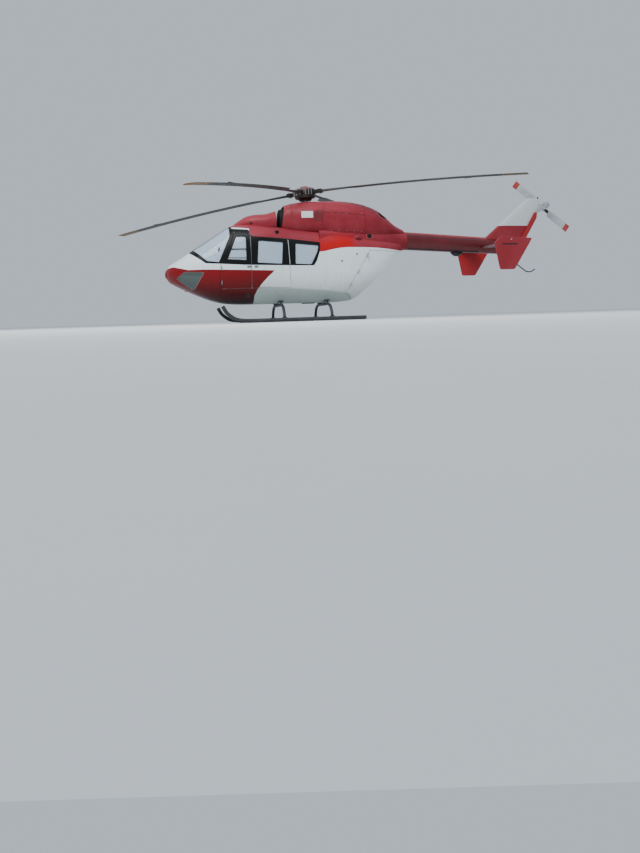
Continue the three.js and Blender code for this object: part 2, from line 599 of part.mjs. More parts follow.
function addTail() {
  const spined = (inset) => body(BOOM, { inset, steps: 6 }).add(body(SPINE, { inset, steps: 4, sides: 16 }));
  const boomPlus = spined(-GAP);
  const pod = body(BOOM_POD, { steps: 8, sides: 14 });
  addPart('tail_boom', spined(0).add(pod), RED);
  const rise = (z) => (z - FIN.low) / (FIN.high - FIN.low);
  const finRing = (z) => {
    const front = THREE.MathUtils.lerp(FIN.frontLow, FIN.frontHigh, rise(z));
    const rear = THREE.MathUtils.lerp(FIN.rearLow, FIN.rearHigh, rise(z));
    const thick = THREE.MathUtils.lerp(...FIN_THICK, rise(z));
    return wingRing({ at: new THREE.Vector3(front, 0, z), along: X, across: Y, chord: rear - front, thick });
  };
  const fin = loft([FIN.low, (FIN.low + FIN.high) / 2, FIN.high].map(finRing)).subtract(boomPlus);
  const lamp = pin([FIN_LAMP.station, 0, FIN_LAMP.low], [FIN_LAMP.station, 0, FIN_LAMP.high], FIN_LAMP.radius);
  addPart('fin', fin.add(lamp), WHITE);
  const edge = (z, back) => [THREE.MathUtils.lerp(FIN.rearLow, FIN.rearHigh, rise(z)) + back, z];
  const cover = COVER.map(([z, back]) => edge(z, back));
  addPart('fin_shaft_cover', slab(cover, -COVER_HALF, COVER_HALF).subtract(boomPlus), RED);
  const { station, side, height } = TAIL_ROTOR;
  const { base, foot, web, rear: aft, low, high, front: fore, top, meet } = TAIL_GEAR;
  const link = [edge(base, 1), edge(base, foot), [station + aft, height + low],
    [station + aft, height + high], [station + fore, height + top], edge(meet, 1)];
  const onAxis = (from, to, radius) => pin([station, from, height], [station, to, height], radius);
  const drum = onAxis(TAIL_DRUM.back, side + TAIL_DRUM.front, TAIL_DRUM.radius);
  const shaft = onAxis(side + TAIL_DRUM.shaftFrom, side - TAIL_HUB.half - GAP, TAIL_DRUM.shaft);
  addPart('tail_gearbox', slab(link, -web, web).add(drum).add(shaft), DARK);

  const { front, rear, height: level, half, thick } = STABILISER;
  for (const [name, sign] of SIDES) {
    const ring = (y) => wingRing({
      at: new THREE.Vector3(front, y, level), along: X, across: Z, chord: rear - front, thick,
    });
    const wing = loft([ring(sign * STABILISER_ROOT), ring(sign * half)]).subtract(boomPlus);
    addPart(`stabiliser_${name}`, wing, RED);
    const [inside, outside] = ordered(sign * (half + GAP), sign * (half + GAP + ENDPLATE_THICK));
    addPart(`endplate_${name}`, slab(ENDPLATE, inside, outside), RED);
  }
  const guard = rod(GUARD.map(([x, z]) => [x, 0, z]), GUARD_RADIUS, 16, 4).subtract(boomPlus);
  addPart('tail_guard', guard, METAL);
}

function crossTube(station, radius) {
  const right = CROSS_PATH.map(([y, z]) => [station, y, z]);
  const left = right.slice(0, -1).map(([x, y, z]) => [x, -y, z]);
  return rod([...left, ...right.reverse()], radius, 22, 5);
}

function addLandingGear() {
  for (const [name, side] of SIDES) {
    const middle = side * SKID_SIDE;
    const tube = rod(SKID_PATH.map(([x, z]) => [x, middle, z]), SKID_RADIUS, 16, 5);
    const shoe = box(SHOE.front, SHOE.rear, middle - SHOE.half, middle + SHOE.half, 0, SHOE.high);
    addPart(`skid_${name}`, tube.add(shoe), DARK);
  }
  for (const [name, station] of Object.entries(CROSS_STATIONS)) {
    let tube = crossTube(station, CROSS_RADIUS);
    for (const [, side] of SIDES) {
      const y = side * SKID_SIDE;
      const { half, side: wide, rise } = SADDLE;
      const [rear, front] = [station - half, station + half];
      tube = tube.add(box(rear, front, y - wide, y + wide, SKID_HEIGHT, SKID_HEIGHT + rise));
      const [from, to] = [rear - half, front + half].map((x) => [x, y, SKID_HEIGHT]);
      tube = tube.subtract(pin(from, to, SKID_RADIUS + 2 * GAP, 24));
    }
    addPart(`cross_tube_${name}`, tube, DARK);
  }
}

function addRotors() {
  const rotor = new THREE.Group();
  rotor.position.set(ROTOR_STATION, 0, ROTOR_HEIGHT);
  rotor.rotation.y = -MAST_TILT;
  airframe.add(rotor);
  const lathe = new THREE.LatheGeometry(HUB_PROFILE.map(([r, z]) => new THREE.Vector2(r, z)), 20);
  lathe.rotateX(Math.PI / 2);
  let head = toSolid(lathe);
  addPart('mast', pin([0, 0, MAST_LOW], [0, 0, HUB_PROFILE[0][1] - GAP], MAST_RADIUS), METAL, rotor);
  const sag = (at) => BLADE_SAG * ((at - BLADE_ROOT) / (ROTOR_RADIUS - BLADE_ROOT)) ** 2;
  const reach = BLADE.map(([at, chord, thick, ahead]) => wingRing({
    at: new THREE.Vector3(at, -chord * ahead, -sag(at)), along: Y, across: Z, chord, thick,
  }));
  const { from, to, half, rise, bolt, bolts, apart, bolted } = FITTING;
  let root = loft(reach).add(box(from, to, -half, half, -rise, rise));
  for (const y of [-apart, apart]) root = root.add(pin([bolts, y, -bolted], [bolts, y, bolted], bolt, 12));
  const blade = toGeometry(root);
  for (let k = 0; k < 4; k += 1) {
    const turn = new THREE.Matrix4().makeRotationZ(BLADE_AZIMUTH + (k * Math.PI) / 2)
      .multiply(new THREE.Matrix4().makeRotationY(BLADE_DROOP));
    const arm = new THREE.BoxGeometry(ARM.to - ARM.from, 2 * ARM.half, ARM.high - ARM.low);
    arm.translate((ARM.from + ARM.to) / 2, 0, (ARM.high + ARM.low) / 2);
    head = head.add(toSolid(arm.applyMatrix4(turn)));
    addPart(`main_blade_${k + 1}`, blade.clone().applyMatrix4(turn), DARK, rotor);
  }
  addPart('rotor_head', head, DARK, rotor);

  const tail = new THREE.Group();
  tail.position.set(TAIL_ROTOR.station, TAIL_ROTOR.side, TAIL_ROTOR.height);
  tail.rotation.y = TAIL_ROTOR_ANGLE;
  airframe.add(tail);
  const { stem, bar, thick, out, link, links } = SPIDER;
  let whole = pin([0, -TAIL_HUB.half, 0], [0, TAIL_HUB.half, 0], TAIL_HUB.radius)
    .add(pin([0, 0, 0], [0, out, 0], stem))
    .add(box(-bar, bar, out - thick, out + thick, -thick, thick));
  for (const way of [1, -1]) {
    whole = whole.add(pin([way * links, 0, 0], [way * links, out, 0], link, 10));
    const rings = TAIL_BLADE.map(([at, chord, depth, ahead]) => wingRing({
      at: new THREE.Vector3(way * at, 0, way * chord * (ahead - 1)),
      along: Z.clone().multiplyScalar(way),
      across: Y,
      chord,
      thick: depth,
    }));
    whole = whole.add(loft(rings));
  }
  addPart('tail_rotor', whole, METAL, tail);
}

function addInterior() {
  const floor = FLOOR.high + GAP;
  for (const { name, station, side, width } of SEATS) {
    const [port, starboard] = [side - width / 2, side + width / 2];
    const { front, rear, margin, high } = SEAT_BASE;
    const cushion = box(station, station + CUSHION.depth, port, starboard, CUSHION.low, CUSHION.high);
    const back = slab(SEAT_BACK.map(([x, z]) => [station + x, z]), port, starboard);
    const base = box(station + front, station + rear, port + margin, starboard - margin, floor, high);
    addPart(name, cushion.add(back).add(base), CLOTH);
  }
  const { front, rear, half, high } = PEDESTAL;
  const desk = slab(PANEL, -PANEL_HALF, PANEL_HALF).add(box(front, rear, -half, half, floor, high));
  addPart('instrument_panel', desk, BLACK);
}

addCabinShell();
addSides();
addUpperBody();
addTail();
addLandingGear();
addRotors();
addInterior();

export default group;
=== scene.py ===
"""A light twin-engined rescue helicopter on skids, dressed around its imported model.

Shapes are worked out in metres as (station aft of the nose, offset to starboard, height above the
ground), and they are moved into the frame when their mesh is made.
"""

import logging
import math
from dataclasses import dataclass
from enum import Enum

import bmesh
import bpy
import numpy as np
from mathutils import Matrix, Vector
from mathutils.geometry import delaunay_2d_cdt


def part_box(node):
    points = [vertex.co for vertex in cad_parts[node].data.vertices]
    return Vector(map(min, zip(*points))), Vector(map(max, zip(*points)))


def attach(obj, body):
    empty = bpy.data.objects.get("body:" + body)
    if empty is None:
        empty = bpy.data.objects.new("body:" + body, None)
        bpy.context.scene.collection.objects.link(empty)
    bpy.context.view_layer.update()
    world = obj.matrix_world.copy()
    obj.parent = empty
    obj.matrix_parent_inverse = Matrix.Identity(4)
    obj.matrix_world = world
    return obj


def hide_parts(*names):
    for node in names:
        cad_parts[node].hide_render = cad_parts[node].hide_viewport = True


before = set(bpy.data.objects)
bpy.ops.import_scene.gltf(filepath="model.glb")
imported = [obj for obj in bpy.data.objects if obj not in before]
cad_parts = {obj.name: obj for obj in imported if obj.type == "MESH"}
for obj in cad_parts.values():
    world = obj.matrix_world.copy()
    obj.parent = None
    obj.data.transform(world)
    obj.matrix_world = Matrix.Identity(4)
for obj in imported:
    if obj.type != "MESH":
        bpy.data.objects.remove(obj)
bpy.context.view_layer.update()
# The nose solid's front is at station -0.020, which gives the frame's x of station 0
NOSE_FRONT = -0.020
NOSE_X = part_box("nose")[0].x - NOSE_FRONT

Array = np.ndarray
LOG = logging.getLogger("helicopter")
# Points that are compared with an outline at a time, to spare memory
BLOCK = 2000
TURN = 2 * math.pi


class Side(Enum):
    """The two sides of the machine, by the sign of their offset."""

    LEFT = -1
    RIGHT = 1

    @property
    def word(self) -> str:
        """The side's word in the names of nodes and pieces."""
        return self.name.lower()


class Door(Enum):
    """The doors that swing, by the word in their names."""

    CREW = "crew_door"
    REAR = "rear_door"


def srgb(code: int) -> tuple[float, float, float, float]:
    """A colour's sRGB hex value as linear red, green, blue and alpha."""
    parts = np.array([code >> 16 & 255, code >> 8 & 255, code & 255]) / 255
    linear = np.where(parts <= 0.04045, parts / 12.92, ((parts + 0.055) / 1.055) ** 2.4)
    return (*(float(v) for v in linear), 1.0)


def unit(vectors: Array) -> Array:
    """Vectors at a length of one."""
    return vectors / np.maximum(np.linalg.norm(vectors, axis=-1, keepdims=True), 1e-12)


def spread(*columns: float | Array) -> Array:
    """Columns side by side, with a single value repeated down its column."""
    return np.stack(np.broadcast_arrays(*(np.asarray(column, float) for column in columns)), -1)


def whole_turn(count: int) -> Array:
    """Angles evenly around a circle."""
    return np.arange(count) * TURN / count


def rotation(axis: tuple[float, float, float], angle: float) -> Array:
    """The matrix that turns by an angle about an axis: c I + s [k] + (1 - c) k k^T."""
    k = unit(np.array(axis, float))
    cross = np.array([[0, -k[2], k[1]], [k[2], 0, -k[0]], [-k[1], k[0], 0]])
    return math.cos(angle) * np.eye(3) + math.sin(angle) * cross + (1 - math.cos(angle)) * np.outer(k, k)


def inside(points: Array, polygon: Array) -> Array:
    """Whether points of a plane lie in a polygon, by the number of its edges that a ray crosses."""
    start, end = polygon, np.roll(polygon, -1, axis=0)
    rise = np.where(end[:, 1] == start[:, 1], 1.0, end[:, 1] - start[:, 1])
    found = []
    for part in np.array_split(points, max(1, len(points) // BLOCK)):
        x, y = part[:, :1], part[:, 1:2]
        spans = (start[:, 1] > y) != (end[:, 1] > y)
        meets = start[:, 0] + (y - start[:, 1]) / rise * (end[:, 0] - start[:, 0])
        found.append((spans & (x < meets)).sum(1) % 2 == 1)
    return np.concatenate(found)


def edge_distance(points: Array, polygon: Array) -> Array:
    """How far points of a plane lie from a polygon's nearest edge, positive inside it."""
    edge = np.roll(polygon, -1, axis=0) - polygon
    found = []
    for part in np.array_split(points, max(1, len(points) // BLOCK)):
        away = part[:, None] - polygon
        share = np.clip((away * edge).sum(-1) / np.maximum((edge**2).sum(-1), 1e-12), 0, 1)
        found.append(np.linalg.norm(away - share[..., None] * edge, axis=-1).min(1))
    return np.concatenate(found) * np.where(inside(points, polygon), 1, -1)


def grown(outline: Array, distance: float) -> Array:
    """A closed outline moved outwards (inwards when negative), its corners mitred.

    Args:
        outline: Corners in order.
        distance: How far each edge moves.

    Returns:
        As many corners as before.
    """
    a = unit(outline - np.roll(outline, 1, axis=0))
    b = unit(np.roll(outline, -1, axis=0) - outline)
    x, y = outline[:, 0], outline[:, 1]
    area = (x * np.roll(y, -1) - y * np.roll(x, -1)).sum()
    normal = unit(np.stack([a[:, 1] + b[:, 1], -(a[:, 0] + b[:, 0])], -1))
    reach = np.maximum(0.35, normal[:, 0] * a[:, 1] - normal[:, 1] * a[:, 0])
    return outline + normal * (np.sign(area) * distance / reach)[:, None]


def rounded(outline: list | Array, radius: float = 0.004, step: float = 0.012, turns: int = 5) -> Array:
    """A closed outline with each corner P replaced by the curve (1-t)^2 A + 2t(1-t) P + t^2 B.

    Args:
        outline: Corners in order.
        radius: How far from a corner the curve starts and ends.
        step: The longest distance between samples of a straight edge.
        turns: Samples on each corner's curve.

    Returns:
        The sampled outline.
    """
    corners = np.array(outline, float)
    before, after = np.roll(corners, 1, axis=0), np.roll(corners, -1, axis=0)
    lengths = np.linalg.norm(after - corners, axis=1)
    cut = np.minimum(radius, 0.45 * np.minimum(lengths, np.roll(lengths, 1)))[:, None]
    start = corners + unit(before - corners) * cut
    end = corners + unit(after - corners) * cut
    t = np.linspace(0, 1, turns)[:, None]
    samples = []
    for i, corner in enumerate(corners):
        samples.append((1 - t) ** 2 * start[i] + 2 * t * (1 - t) * corner + t**2 * end[i])
        onward = start[(i + 1) % len(corners)]
        count = max(1, math.ceil(np.linalg.norm(onward - end[i]) / step))
        samples.append(end[i] + np.linspace(0, 1, count + 1)[1:-1, None] * (onward - end[i]))
    return np.concatenate(samples)


@dataclass
class Form:
    """Points and faces, with the number of the coat that each face wears."""

    points: Array
    loops: Array
    sizes: Array
    coats: Array

    @classmethod
    def join(cls, *forms: "Form") -> "Form":
        """Several forms as one."""
        starts = np.cumsum([0] + [len(f.points) for f in forms])
        return cls(
            np.concatenate([f.points for f in forms]),
            np.concatenate([f.loops + start for f, start in zip(forms, starts)]),
            np.concatenate([f.sizes for f in forms]),
            np.concatenate([f.coats for f in forms]),
        )

    @classmethod
    def grid(cls, rows: Array, coat: int = 0, around: bool = True, along: bool = False) -> "Form":
        """Quads between neighbouring points of a grid.

        Args:
            rows: Points as (row, column, 3).
            coat: The coat's number.
            around: Whether the last column meets the first.
            along: Whether the last row meets the first.

        Returns:
            The sheet of quads.
        """
        index = np.arange(rows.shape[0] * rows.shape[1]).reshape(rows.shape[:2])
        if around:
            index = np.concatenate([index, index[:, :1]], axis=1)
        if along:
            index = np.concatenate([index, index[:1]], axis=0)
        quads = np.stack([index[:-1, :-1], index[1:, :-1], index[1:, 1:], index[:-1, 1:]], -1).reshape(-1, 4)
        return cls(rows.reshape(-1, 3), quads.ravel(), np.full(len(quads), 4), np.full(len(quads), coat))

    @classmethod
    def fan(cls, ring: Array, coat: int = 0) -> "Form":
        """Triangles from a ring's middle to its edges."""
        n = np.arange(len(ring))
        faces = np.stack([n, np.roll(n, -1), np.full(len(ring), len(ring))], -1)
        points = np.concatenate([ring, ring.mean(0)[None]])
        return cls(points, faces.ravel(), np.full(len(faces), 3), np.full(len(faces), coat))

    @classmethod
    def solid(cls, rows: Array, coat: int = 0) -> "Form":
        """Rings of points joined in order, with both ends closed."""
        return cls.join(cls.grid(rows, coat), cls.fan(rows[0], coat), cls.fan(rows[-1], coat))

    def wear(self, coat: int) -> "Form":
        """The same form with one coat all over."""
        return Form(self.points, self.loops, self.sizes, np.full(len(self.sizes), coat))

    def placed(self, at: tuple | Array = (0, 0, 0), turn: Array | None = None) -> "Form":
        """The form turned by a matrix and then moved."""
        points = self.points if turn is None else self.points @ np.asarray(turn).T
        return Form(points + np.asarray(at, float), self.loops, self.sizes, self.coats)

    def mirrored(self) -> "Form":
        """The form on the other side of the machine."""
        return Form(self.points * (1, -1, 1), self.loops, self.sizes, self.coats)

    def on(self, side: Side) -> "Form":
        """The form, made for starboard, on either side."""
        return self if side is Side.RIGHT else self.mirrored()


def tube(path: Array, radius: float | Array, sides: int = 16, up: tuple = (0, 0, 1), squash: float = 1.0,
         coat: int = 0, closed: bool = False, ends: bool = True) -> Form:
    """A section carried along a path: p + r (cos a U + k sin a V), with U and V square to the path.

    Args:
        path: Points that the section's middle follows.
        radius: One radius, or one for each point.
        sides: Points of the section.
        up: A direction that the path never runs along.
        squash: The section's height over its width.
        coat: The coat's number.
        closed: Whether the path is a loop.
        ends: Whether open ends are closed.

    Returns:
        The tube.
    """
    path = np.asarray(path, float)
    if closed:
        ahead = unit(np.roll(path, -1, axis=0) - np.roll(path, 1, axis=0))
    else:
        ahead = unit(np.gradient(path, axis=0))
    across = unit(np.cross(ahead, np.array(up, float)))
    lift = np.cross(across, ahead)
    turn = whole_turn(sides)[None, :, None]
    r = np.broadcast_to(np.asarray(radius, float), len(path))[:, None, None]
    rows = path[:, None] + r * (np.cos(turn) * across[:, None] + squash * np.sin(turn) * lift[:, None])
    if closed:
        return Form.grid(rows, coat, along=True)
    return Form.solid(rows, coat) if ends else Form.grid(rows, coat)


def lathe(profile: list | Array, sides: int = 32, coat: int = 0, axis: tuple = (0, 0, 1),
          at: tuple = (0, 0, 0)) -> Form:
    """A profile of (radius, distance) turned about an axis: at + d axis + r (cos a U + sin a V)."""
    line = np.array(profile, float)
    way = unit(np.array(axis, float))
    u = unit(np.cross(way, (0, 1, 0) if abs(way[1]) < 0.9 else (1, 0, 0)))
    v = np.cross(way, u)
    angle = whole_turn(sides)
    ring = np.cos(angle)[:, None] * u + np.sin(angle)[:, None] * v
    rows = line[:, 0, None, None] * ring + line[:, 1, None, None] * way + np.array(at, float)
    return Form.solid(rows, coat)


def smooth_path(points: list | Array, count: int = 40, reach: float = 0.3) -> Array:
    """A curve through points, by cubics whose slopes are a share of the way between the neighbours."""
    p = np.array(points, float)
    slope = np.empty_like(p)
    slope[1:-1] = reach * (p[2:] - p[:-2])
    slope[0], slope[-1] = reach * (p[1] - p[0]), reach * (p[-1] - p[-2])
    at = np.linspace(0, len(p) - 1, count)
    i = np.minimum(at.astype(int), len(p) - 2)
    t = (at - i)[:, None]
    return ((2 * t**3 - 3 * t**2 + 1) * p[i] + (t**3 - 2 * t**2 + t) * slope[i]
            + (3 * t**2 - 2 * t**3) * p[i + 1] + (t**3 - t**2) * slope[i + 1])


def spaced(points: list | Array, step: float) -> Array:
    """Points a step apart along a line through corners."""
    line = np.array(points, float)
    lengths = np.concatenate([[0], np.cumsum(np.linalg.norm(np.diff(line, axis=0), axis=1))])
    at = np.linspace(0, lengths[-1], max(2, round(lengths[-1] / step) + 1))
    return np.stack([np.interp(at, lengths, line[:, k]) for k in range(line.shape[1])], -1)


def frames_on(normals: Array) -> Array:
    """Turns that carry the third axis to each normal: columns U, V and N."""
    u = unit(np.cross(normals, (0.31, 0.52, 0.79)))
    return np.stack([u, np.cross(normals, u), normals], -1)


def repeated(form: Form, places: Array, turns: Array) -> Form:
    """Copies of a form, each turned by its own matrix and moved: F p + o.

    Args:
        form: The form, around the origin.
        places: Where each copy goes, as (copy, 3).
        turns: Each copy's matrix, as (copy, 3, 3).

    Returns:
        All copies as one form.
    """
    count = len(places)
    points = np.einsum("nij,pj->npi", turns, form.points) + places[:, None]
    starts = np.arange(count) * len(form.points)
    loops = (form.loops[None] + starts[:, None]).ravel()
    return Form(points.reshape(-1, 3), loops, np.tile(form.sizes, count), np.tile(form.coats, count))


def stud(radius: float, rise: float, sides: int = 8, coat: int = 0) -> Form:
    """A low dome on the origin, its foot sunk by half its rise."""
    return lathe([(radius, -0.5 * rise), (radius, 0.2 * rise), (0.6 * radius, 0.9 * rise)], sides, coat)


def plate(outline: Array, low: float, high: float, bevel: float = 0.002, coat: int = 0) -> Form:
    """An outline of two columns carried across the machine, its edges bevelled.

    Args:
        outline: Corners as (station, height).
        low: The offset where the plate starts.
        high: The offset where it ends.
        bevel: The bevel's width.
        coat: The coat's number.

    Returns:
        The plate.
    """
    inner = grown(outline, -bevel)
    rows = [(inner, low), (outline, low + bevel), (outline, high - bevel), (inner, high)]
    return Form.solid(np.stack([spread(edge[:, 0], y, edge[:, 1]) for edge, y in rows]), coat)


def block(low: tuple, high: tuple, bevel: float = 0.003, coat: int = 0) -> Form:
    """A box with bevelled edges, between two corners."""
    (x0, y0, z0), (x1, y1, z1) = low, high
    outline = rounded([(x0, z0), (x1, z0), (x1, z1), (x0, z1)], bevel, 10.0, 4)
    return plate(outline, y0, y1, bevel, coat)


def wing_ring(at: Array, along: Array, across: Array, chord: float, thick: float, points: int = 48) -> Array:
    """A symmetrical wing section: reach u along the chord and half its thickness t(u) either side.

    The half thickness is 5 t (0.2969 sqrt(u) - 0.126 u - 0.3516 u^2 + 0.2843 u^3 - 0.1 u^4).
    """
    angle = whole_turn(points)
    u = (1 - np.cos(angle)) / 2
    half = 5 * thick * (0.2969 * np.sqrt(u) - 0.126 * u - 0.3516 * u**2 + 0.2843 * u**3 - 0.1 * u**4)
    half = (half + 0.02 * thick * u) * np.sign(np.round(np.sin(angle), 9))
    return np.asarray(at) + chord * u[:, None] * np.asarray(along) + half[:, None] * np.asarray(across)


@dataclass(frozen=True)
class Hull:
    """A body along the machine, from rows of station, bottom, top, half width and two powers.

    A section follows |y / half|^n + |z / rise|^n = 1, with one power n above the middle and another
    below it. A turn is an angle from the top, positive to starboard.
    """

    rows: tuple
    girth: float = 0.75
    dome: float = 0.0

    def at(self, station: Array) -> Array:
        """Rows at stations, by cubics through the table whose slopes are the neighbours' mean."""
        table = np.array(self.rows, float)
        x = table[:, 0]
        secants = np.diff(table, axis=0) / np.diff(x)[:, None]
        slopes = np.concatenate([secants[:1], (secants[:-1] + secants[1:]) / 2, secants[-1:]])
        station = np.clip(station, x[0], x[-1])
        i = np.clip(np.searchsorted(x, station) - 1, 0, len(x) - 2)
        width = (x[i + 1] - x[i])[..., None]
        t = (station - x[i])[..., None] / width
        return ((2 * t**3 - 3 * t**2 + 1) * table[i] + (t**3 - 2 * t**2 + t) * width * slopes[i]
                + (3 * t**2 - 2 * t**3) * table[i + 1] + (t**3 - t**2) * width * slopes[i + 1])

    @staticmethod
    def centre(row: Array) -> tuple[Array, Array]:
        """The heights of sections' middles, and how far the sections rise above them."""
        return (row[..., 1] + row[..., 2]) / 2, (row[..., 2] - row[..., 1]) / 2

    def surface(self, station: Array, turn: Array, inset: float | Array = 0.0) -> Array:
        """Points at stations and turns: y = h sin a / d, z = m + r cos a / d.

        Here d = (|sin a|^n + |cos a|^n)^(1/n), and a round front end narrows h and r to nothing.

        Args:
            station: Stations.
            turn: Angles from the top.
            inset: How far inside the skin the points lie.

        Returns:
            Points as (station, offset, height).
        """
        station, turn = np.broadcast_arrays(np.asarray(station, float), np.asarray(turn, float))
        row = self.at(station)
        power = np.where(np.cos(turn) >= 0, row[..., 4], row[..., 5])
        size = (np.abs(np.sin(turn)) ** power + np.abs(np.cos(turn)) ** power) ** (1 / power)
        past = np.clip((self.rows[0][0] - station) / max(self.dome, 1e-9), 0, 1)
        past = np.where(past > 1 - 1e-5, 1.0, past)
        narrow = np.sqrt(1 - past**2)
        middle, rise = self.centre(row)
        return spread(station + inset * past,
                      (row[..., 3] - inset) * narrow * np.sin(turn) / size,
                      middle + (rise - inset) * narrow * np.cos(turn) / size)

    def unwrap(self, points: Array) -> Array:
        """Stations and turns of points, seen from each section's middle."""
        row = self.at(points[..., 0])
        middle, rise = self.centre(row)
        turn = np.arctan2(points[..., 1] / row[..., 3], (points[..., 2] - middle) / rise)
        return np.stack([points[..., 0], turn], -1)

    def side_loop(self, outline: Array) -> Array:
        """An outline of stations and heights as stations and turns on the starboard skin."""
        station, height = outline[:, 0], outline[:, 1]
        row = self.at(station)
        middle, rise = self.centre(row)
        share = np.clip((height - middle) / rise, -1, 1)
        power = np.where(share >= 0, row[:, 4], row[:, 5])
        wide = np.clip(1 - np.abs(share) ** power, 0, 1) ** (1 / power)
        return np.stack([station, np.arctan2(wide, share)], -1)

    def on_side(self, outline: Array, inset: float = 0.0) -> Array:
        """Points of the starboard skin at stations and heights."""
        loop = self.side_loop(np.asarray(outline, float).reshape(-1, 2))
        return self.surface(loop[:, 0], loop[:, 1], inset)

    def side_offset(self, station: float, height: float) -> float:
        """How far the skin stands out at a station and a height."""
        return float(self.on_side([(station, height)])[0, 1])

    def normals(self, loop: Array) -> Array:
        """Outward directions at stations and turns: the product of the skin's two tangents."""
        small = 1e-3
        station, turn = loop[:, 0], loop[:, 1]
        along = self.surface(station + small, turn) - self.surface(station - small, turn)
        around = self.surface(station, turn + small) - self.surface(station, turn - small)
        return unit(np.cross(along, around))

    def studs(self, loop: Array, form: Form) -> Form:
        """Copies of a small form at stations and turns, square to the skin."""
        return repeated(form, self.surface(loop[:, 0], loop[:, 1]), frames_on(self.normals(loop)))

    def side_studs(self, lines: list, step: float, form: Form) -> Form:
        """Copies of a small form along lines of stations and heights on the starboard skin."""
        return Form.join(*(self.studs(self.side_loop(spaced(line, step)), form) for line in lines))

    def side_line(self, line: list | Array, radius: float, coat: int = 0, proud: float = 0.0,
                  squash: float = 0.5) -> Form:
        """A flat bead along a line of stations and heights on the starboard skin."""
        return tube(self.on_side(spaced(line, 0.03), -proud), radius, 8, (0, 1, 0), squash, coat)

    def side_plate(self, outline: list | Array, proud: float = 0.003, coat: int = 0,
                   corner: float = 0.01) -> Form:
        """A thin plate on the starboard skin, from an outline of stations and heights."""
        line = self.side_loop(rounded(outline, corner))
        return self.shell([line], proud + 0.001, -proud, min(0.0008, proud / 3), 0.05, (coat, coat))

    def meets(self, start: tuple, end: tuple, column: int) -> float:
        """The station where a side view's line crosses the top (column 2) or the bottom (column 1)."""
        station = np.linspace(start[0], end[0], 400)
        height = np.linspace(start[1], end[1], 400)
        apart = height - self.at(station)[:, column]
        i = int(np.nonzero(np.diff(np.sign(apart)))[0][0])
        return float(station[i] + (station[i + 1] - station[i]) * apart[i] / (apart[i] - apart[i + 1]))

    def bore(self, start: Array, way: Array, radius: float, reach: float, count: int = 48) -> Array:
        """Where a round hole's walls leave the skin, found by halving the way along each of them.

        Args:
            start: The middle of the hole, inside the body.
            way: The hole's direction, outwards.
            radius: Its radius.
            reach: A distance along it that is outside the body.
            count: Points around it.

        Returns:
            Points on the skin.
        """
        way = unit(np.asarray(way, float))
        u = unit(np.cross(way, (0.0, 1.0, 0.0)))
        v = np.cross(way, u)
        angle = whole_turn(count)
        ring = np.asarray(start, float) + radius * (np.cos(angle)[:, None] * u + np.sin(angle)[:, None] * v)
        near, far = np.zeros(count), np.full(count, reach)
        for _ in range(40):
            middle = (near + far) / 2
            points = ring + middle[:, None] * way
            row = self.at(points[:, 0])
            height, rise = self.centre(row)
            share = (points[:, 2] - height) / rise
            power = np.where(share >= 0, row[:, 4], row[:, 5])
            within = np.abs(points[:, 1] / row[:, 3]) ** power + np.abs(share) ** power < 1
            within &= points[:, 0] < self.rows[-1][0]
            near, far = np.where(within, middle, near), np.where(within, far, middle)
        return ring + near[:, None] * way

    def cuts(self, step: float) -> Array:
        """Stations a step apart, closer together at a round front end."""
        first, last = self.rows[0][0], self.rows[-1][0]
        if self.dome == 0:
            return np.arange(first, last, step)
        round_end = first - self.dome * np.cos(np.linspace(0, math.pi / 2, 7))
        return np.concatenate([round_end, np.arange(first + 0.01, first + 0.3, 0.01),
                               np.arange(first + 0.3, last, step)])

    def shell(self, loops: list[Array], wall: float, inset: float = 0.0, bevel: float = 0.0015,
              step: float = 0.03, coats: tuple[int, int] = (0, 1)) -> Form:
        """A panel of the skin: two sheets of triangles, and a wall around each of its edges.

        Both sheets share a triangulation of stations and turns, with points a step apart inside
        the loops, so they lie on the body's curve everywhere.

        Args:
            loops: The panel's outline and then its holes, as stations and turns.
            wall: The panel's thickness.
            inset: How far its outer face lies inside the skin.
            bevel: The bevel along its edges.
            step: The distance between inner points.
            coats: Numbers of the coats outside and inside.

        Returns:
            The panel.
        """
        scale = np.array([1.0, self.girth])
        flat, shrunk, seams = [], [], []
        for i, loop in enumerate(loops):
            line = np.asarray(loop, float) * scale
            x, y = line[:, 0], line[:, 1]
            area = (x * np.roll(y, -1) - y * np.roll(x, -1)).sum()
            line = line if (area > 0) == (i == 0) else line[::-1]
            ahead = unit(np.roll(line, -1, axis=0) - np.roll(line, 1, axis=0))
            pulled = line + bevel * np.stack([-ahead[:, 1], ahead[:, 0]], -1)
            seam = np.isclose(np.abs(line[:, 1]), math.pi * self.girth)
            pole = np.isclose(line[:, 0], self.rows[0][0] - self.dome) & (self.dome > 0)
            pulled[seam, 1], pulled[pole, 0] = line[seam, 1], line[pole, 0]
            flat.append(line)
            shrunk.append(pulled)
            seams.append((seam & np.roll(seam, -1)) | (pole & np.roll(pole, -1)))
        edge = np.concatenate(shrunk)
        stations = self.cuts(step)
        nearest = max(edge[:, 0].min(), self.rows[0][0] - 0.51 * self.dome)
        stations = stations[(stations > nearest) & (stations < edge[:, 0].max())]
        turns = np.arange(edge[:, 1].min() + step / 2, edge[:, 1].max(), step)
        mesh = np.stack(np.meshgrid(stations, turns, indexing="ij"), -1).reshape(-1, 2)

        def within(points: Array) -> Array:
            """Whether points lie on the panel and in none of its holes."""
            found = inside(points, shrunk[0])
            for hole in shrunk[1:]:
                found &= ~inside(points, hole)
            return found

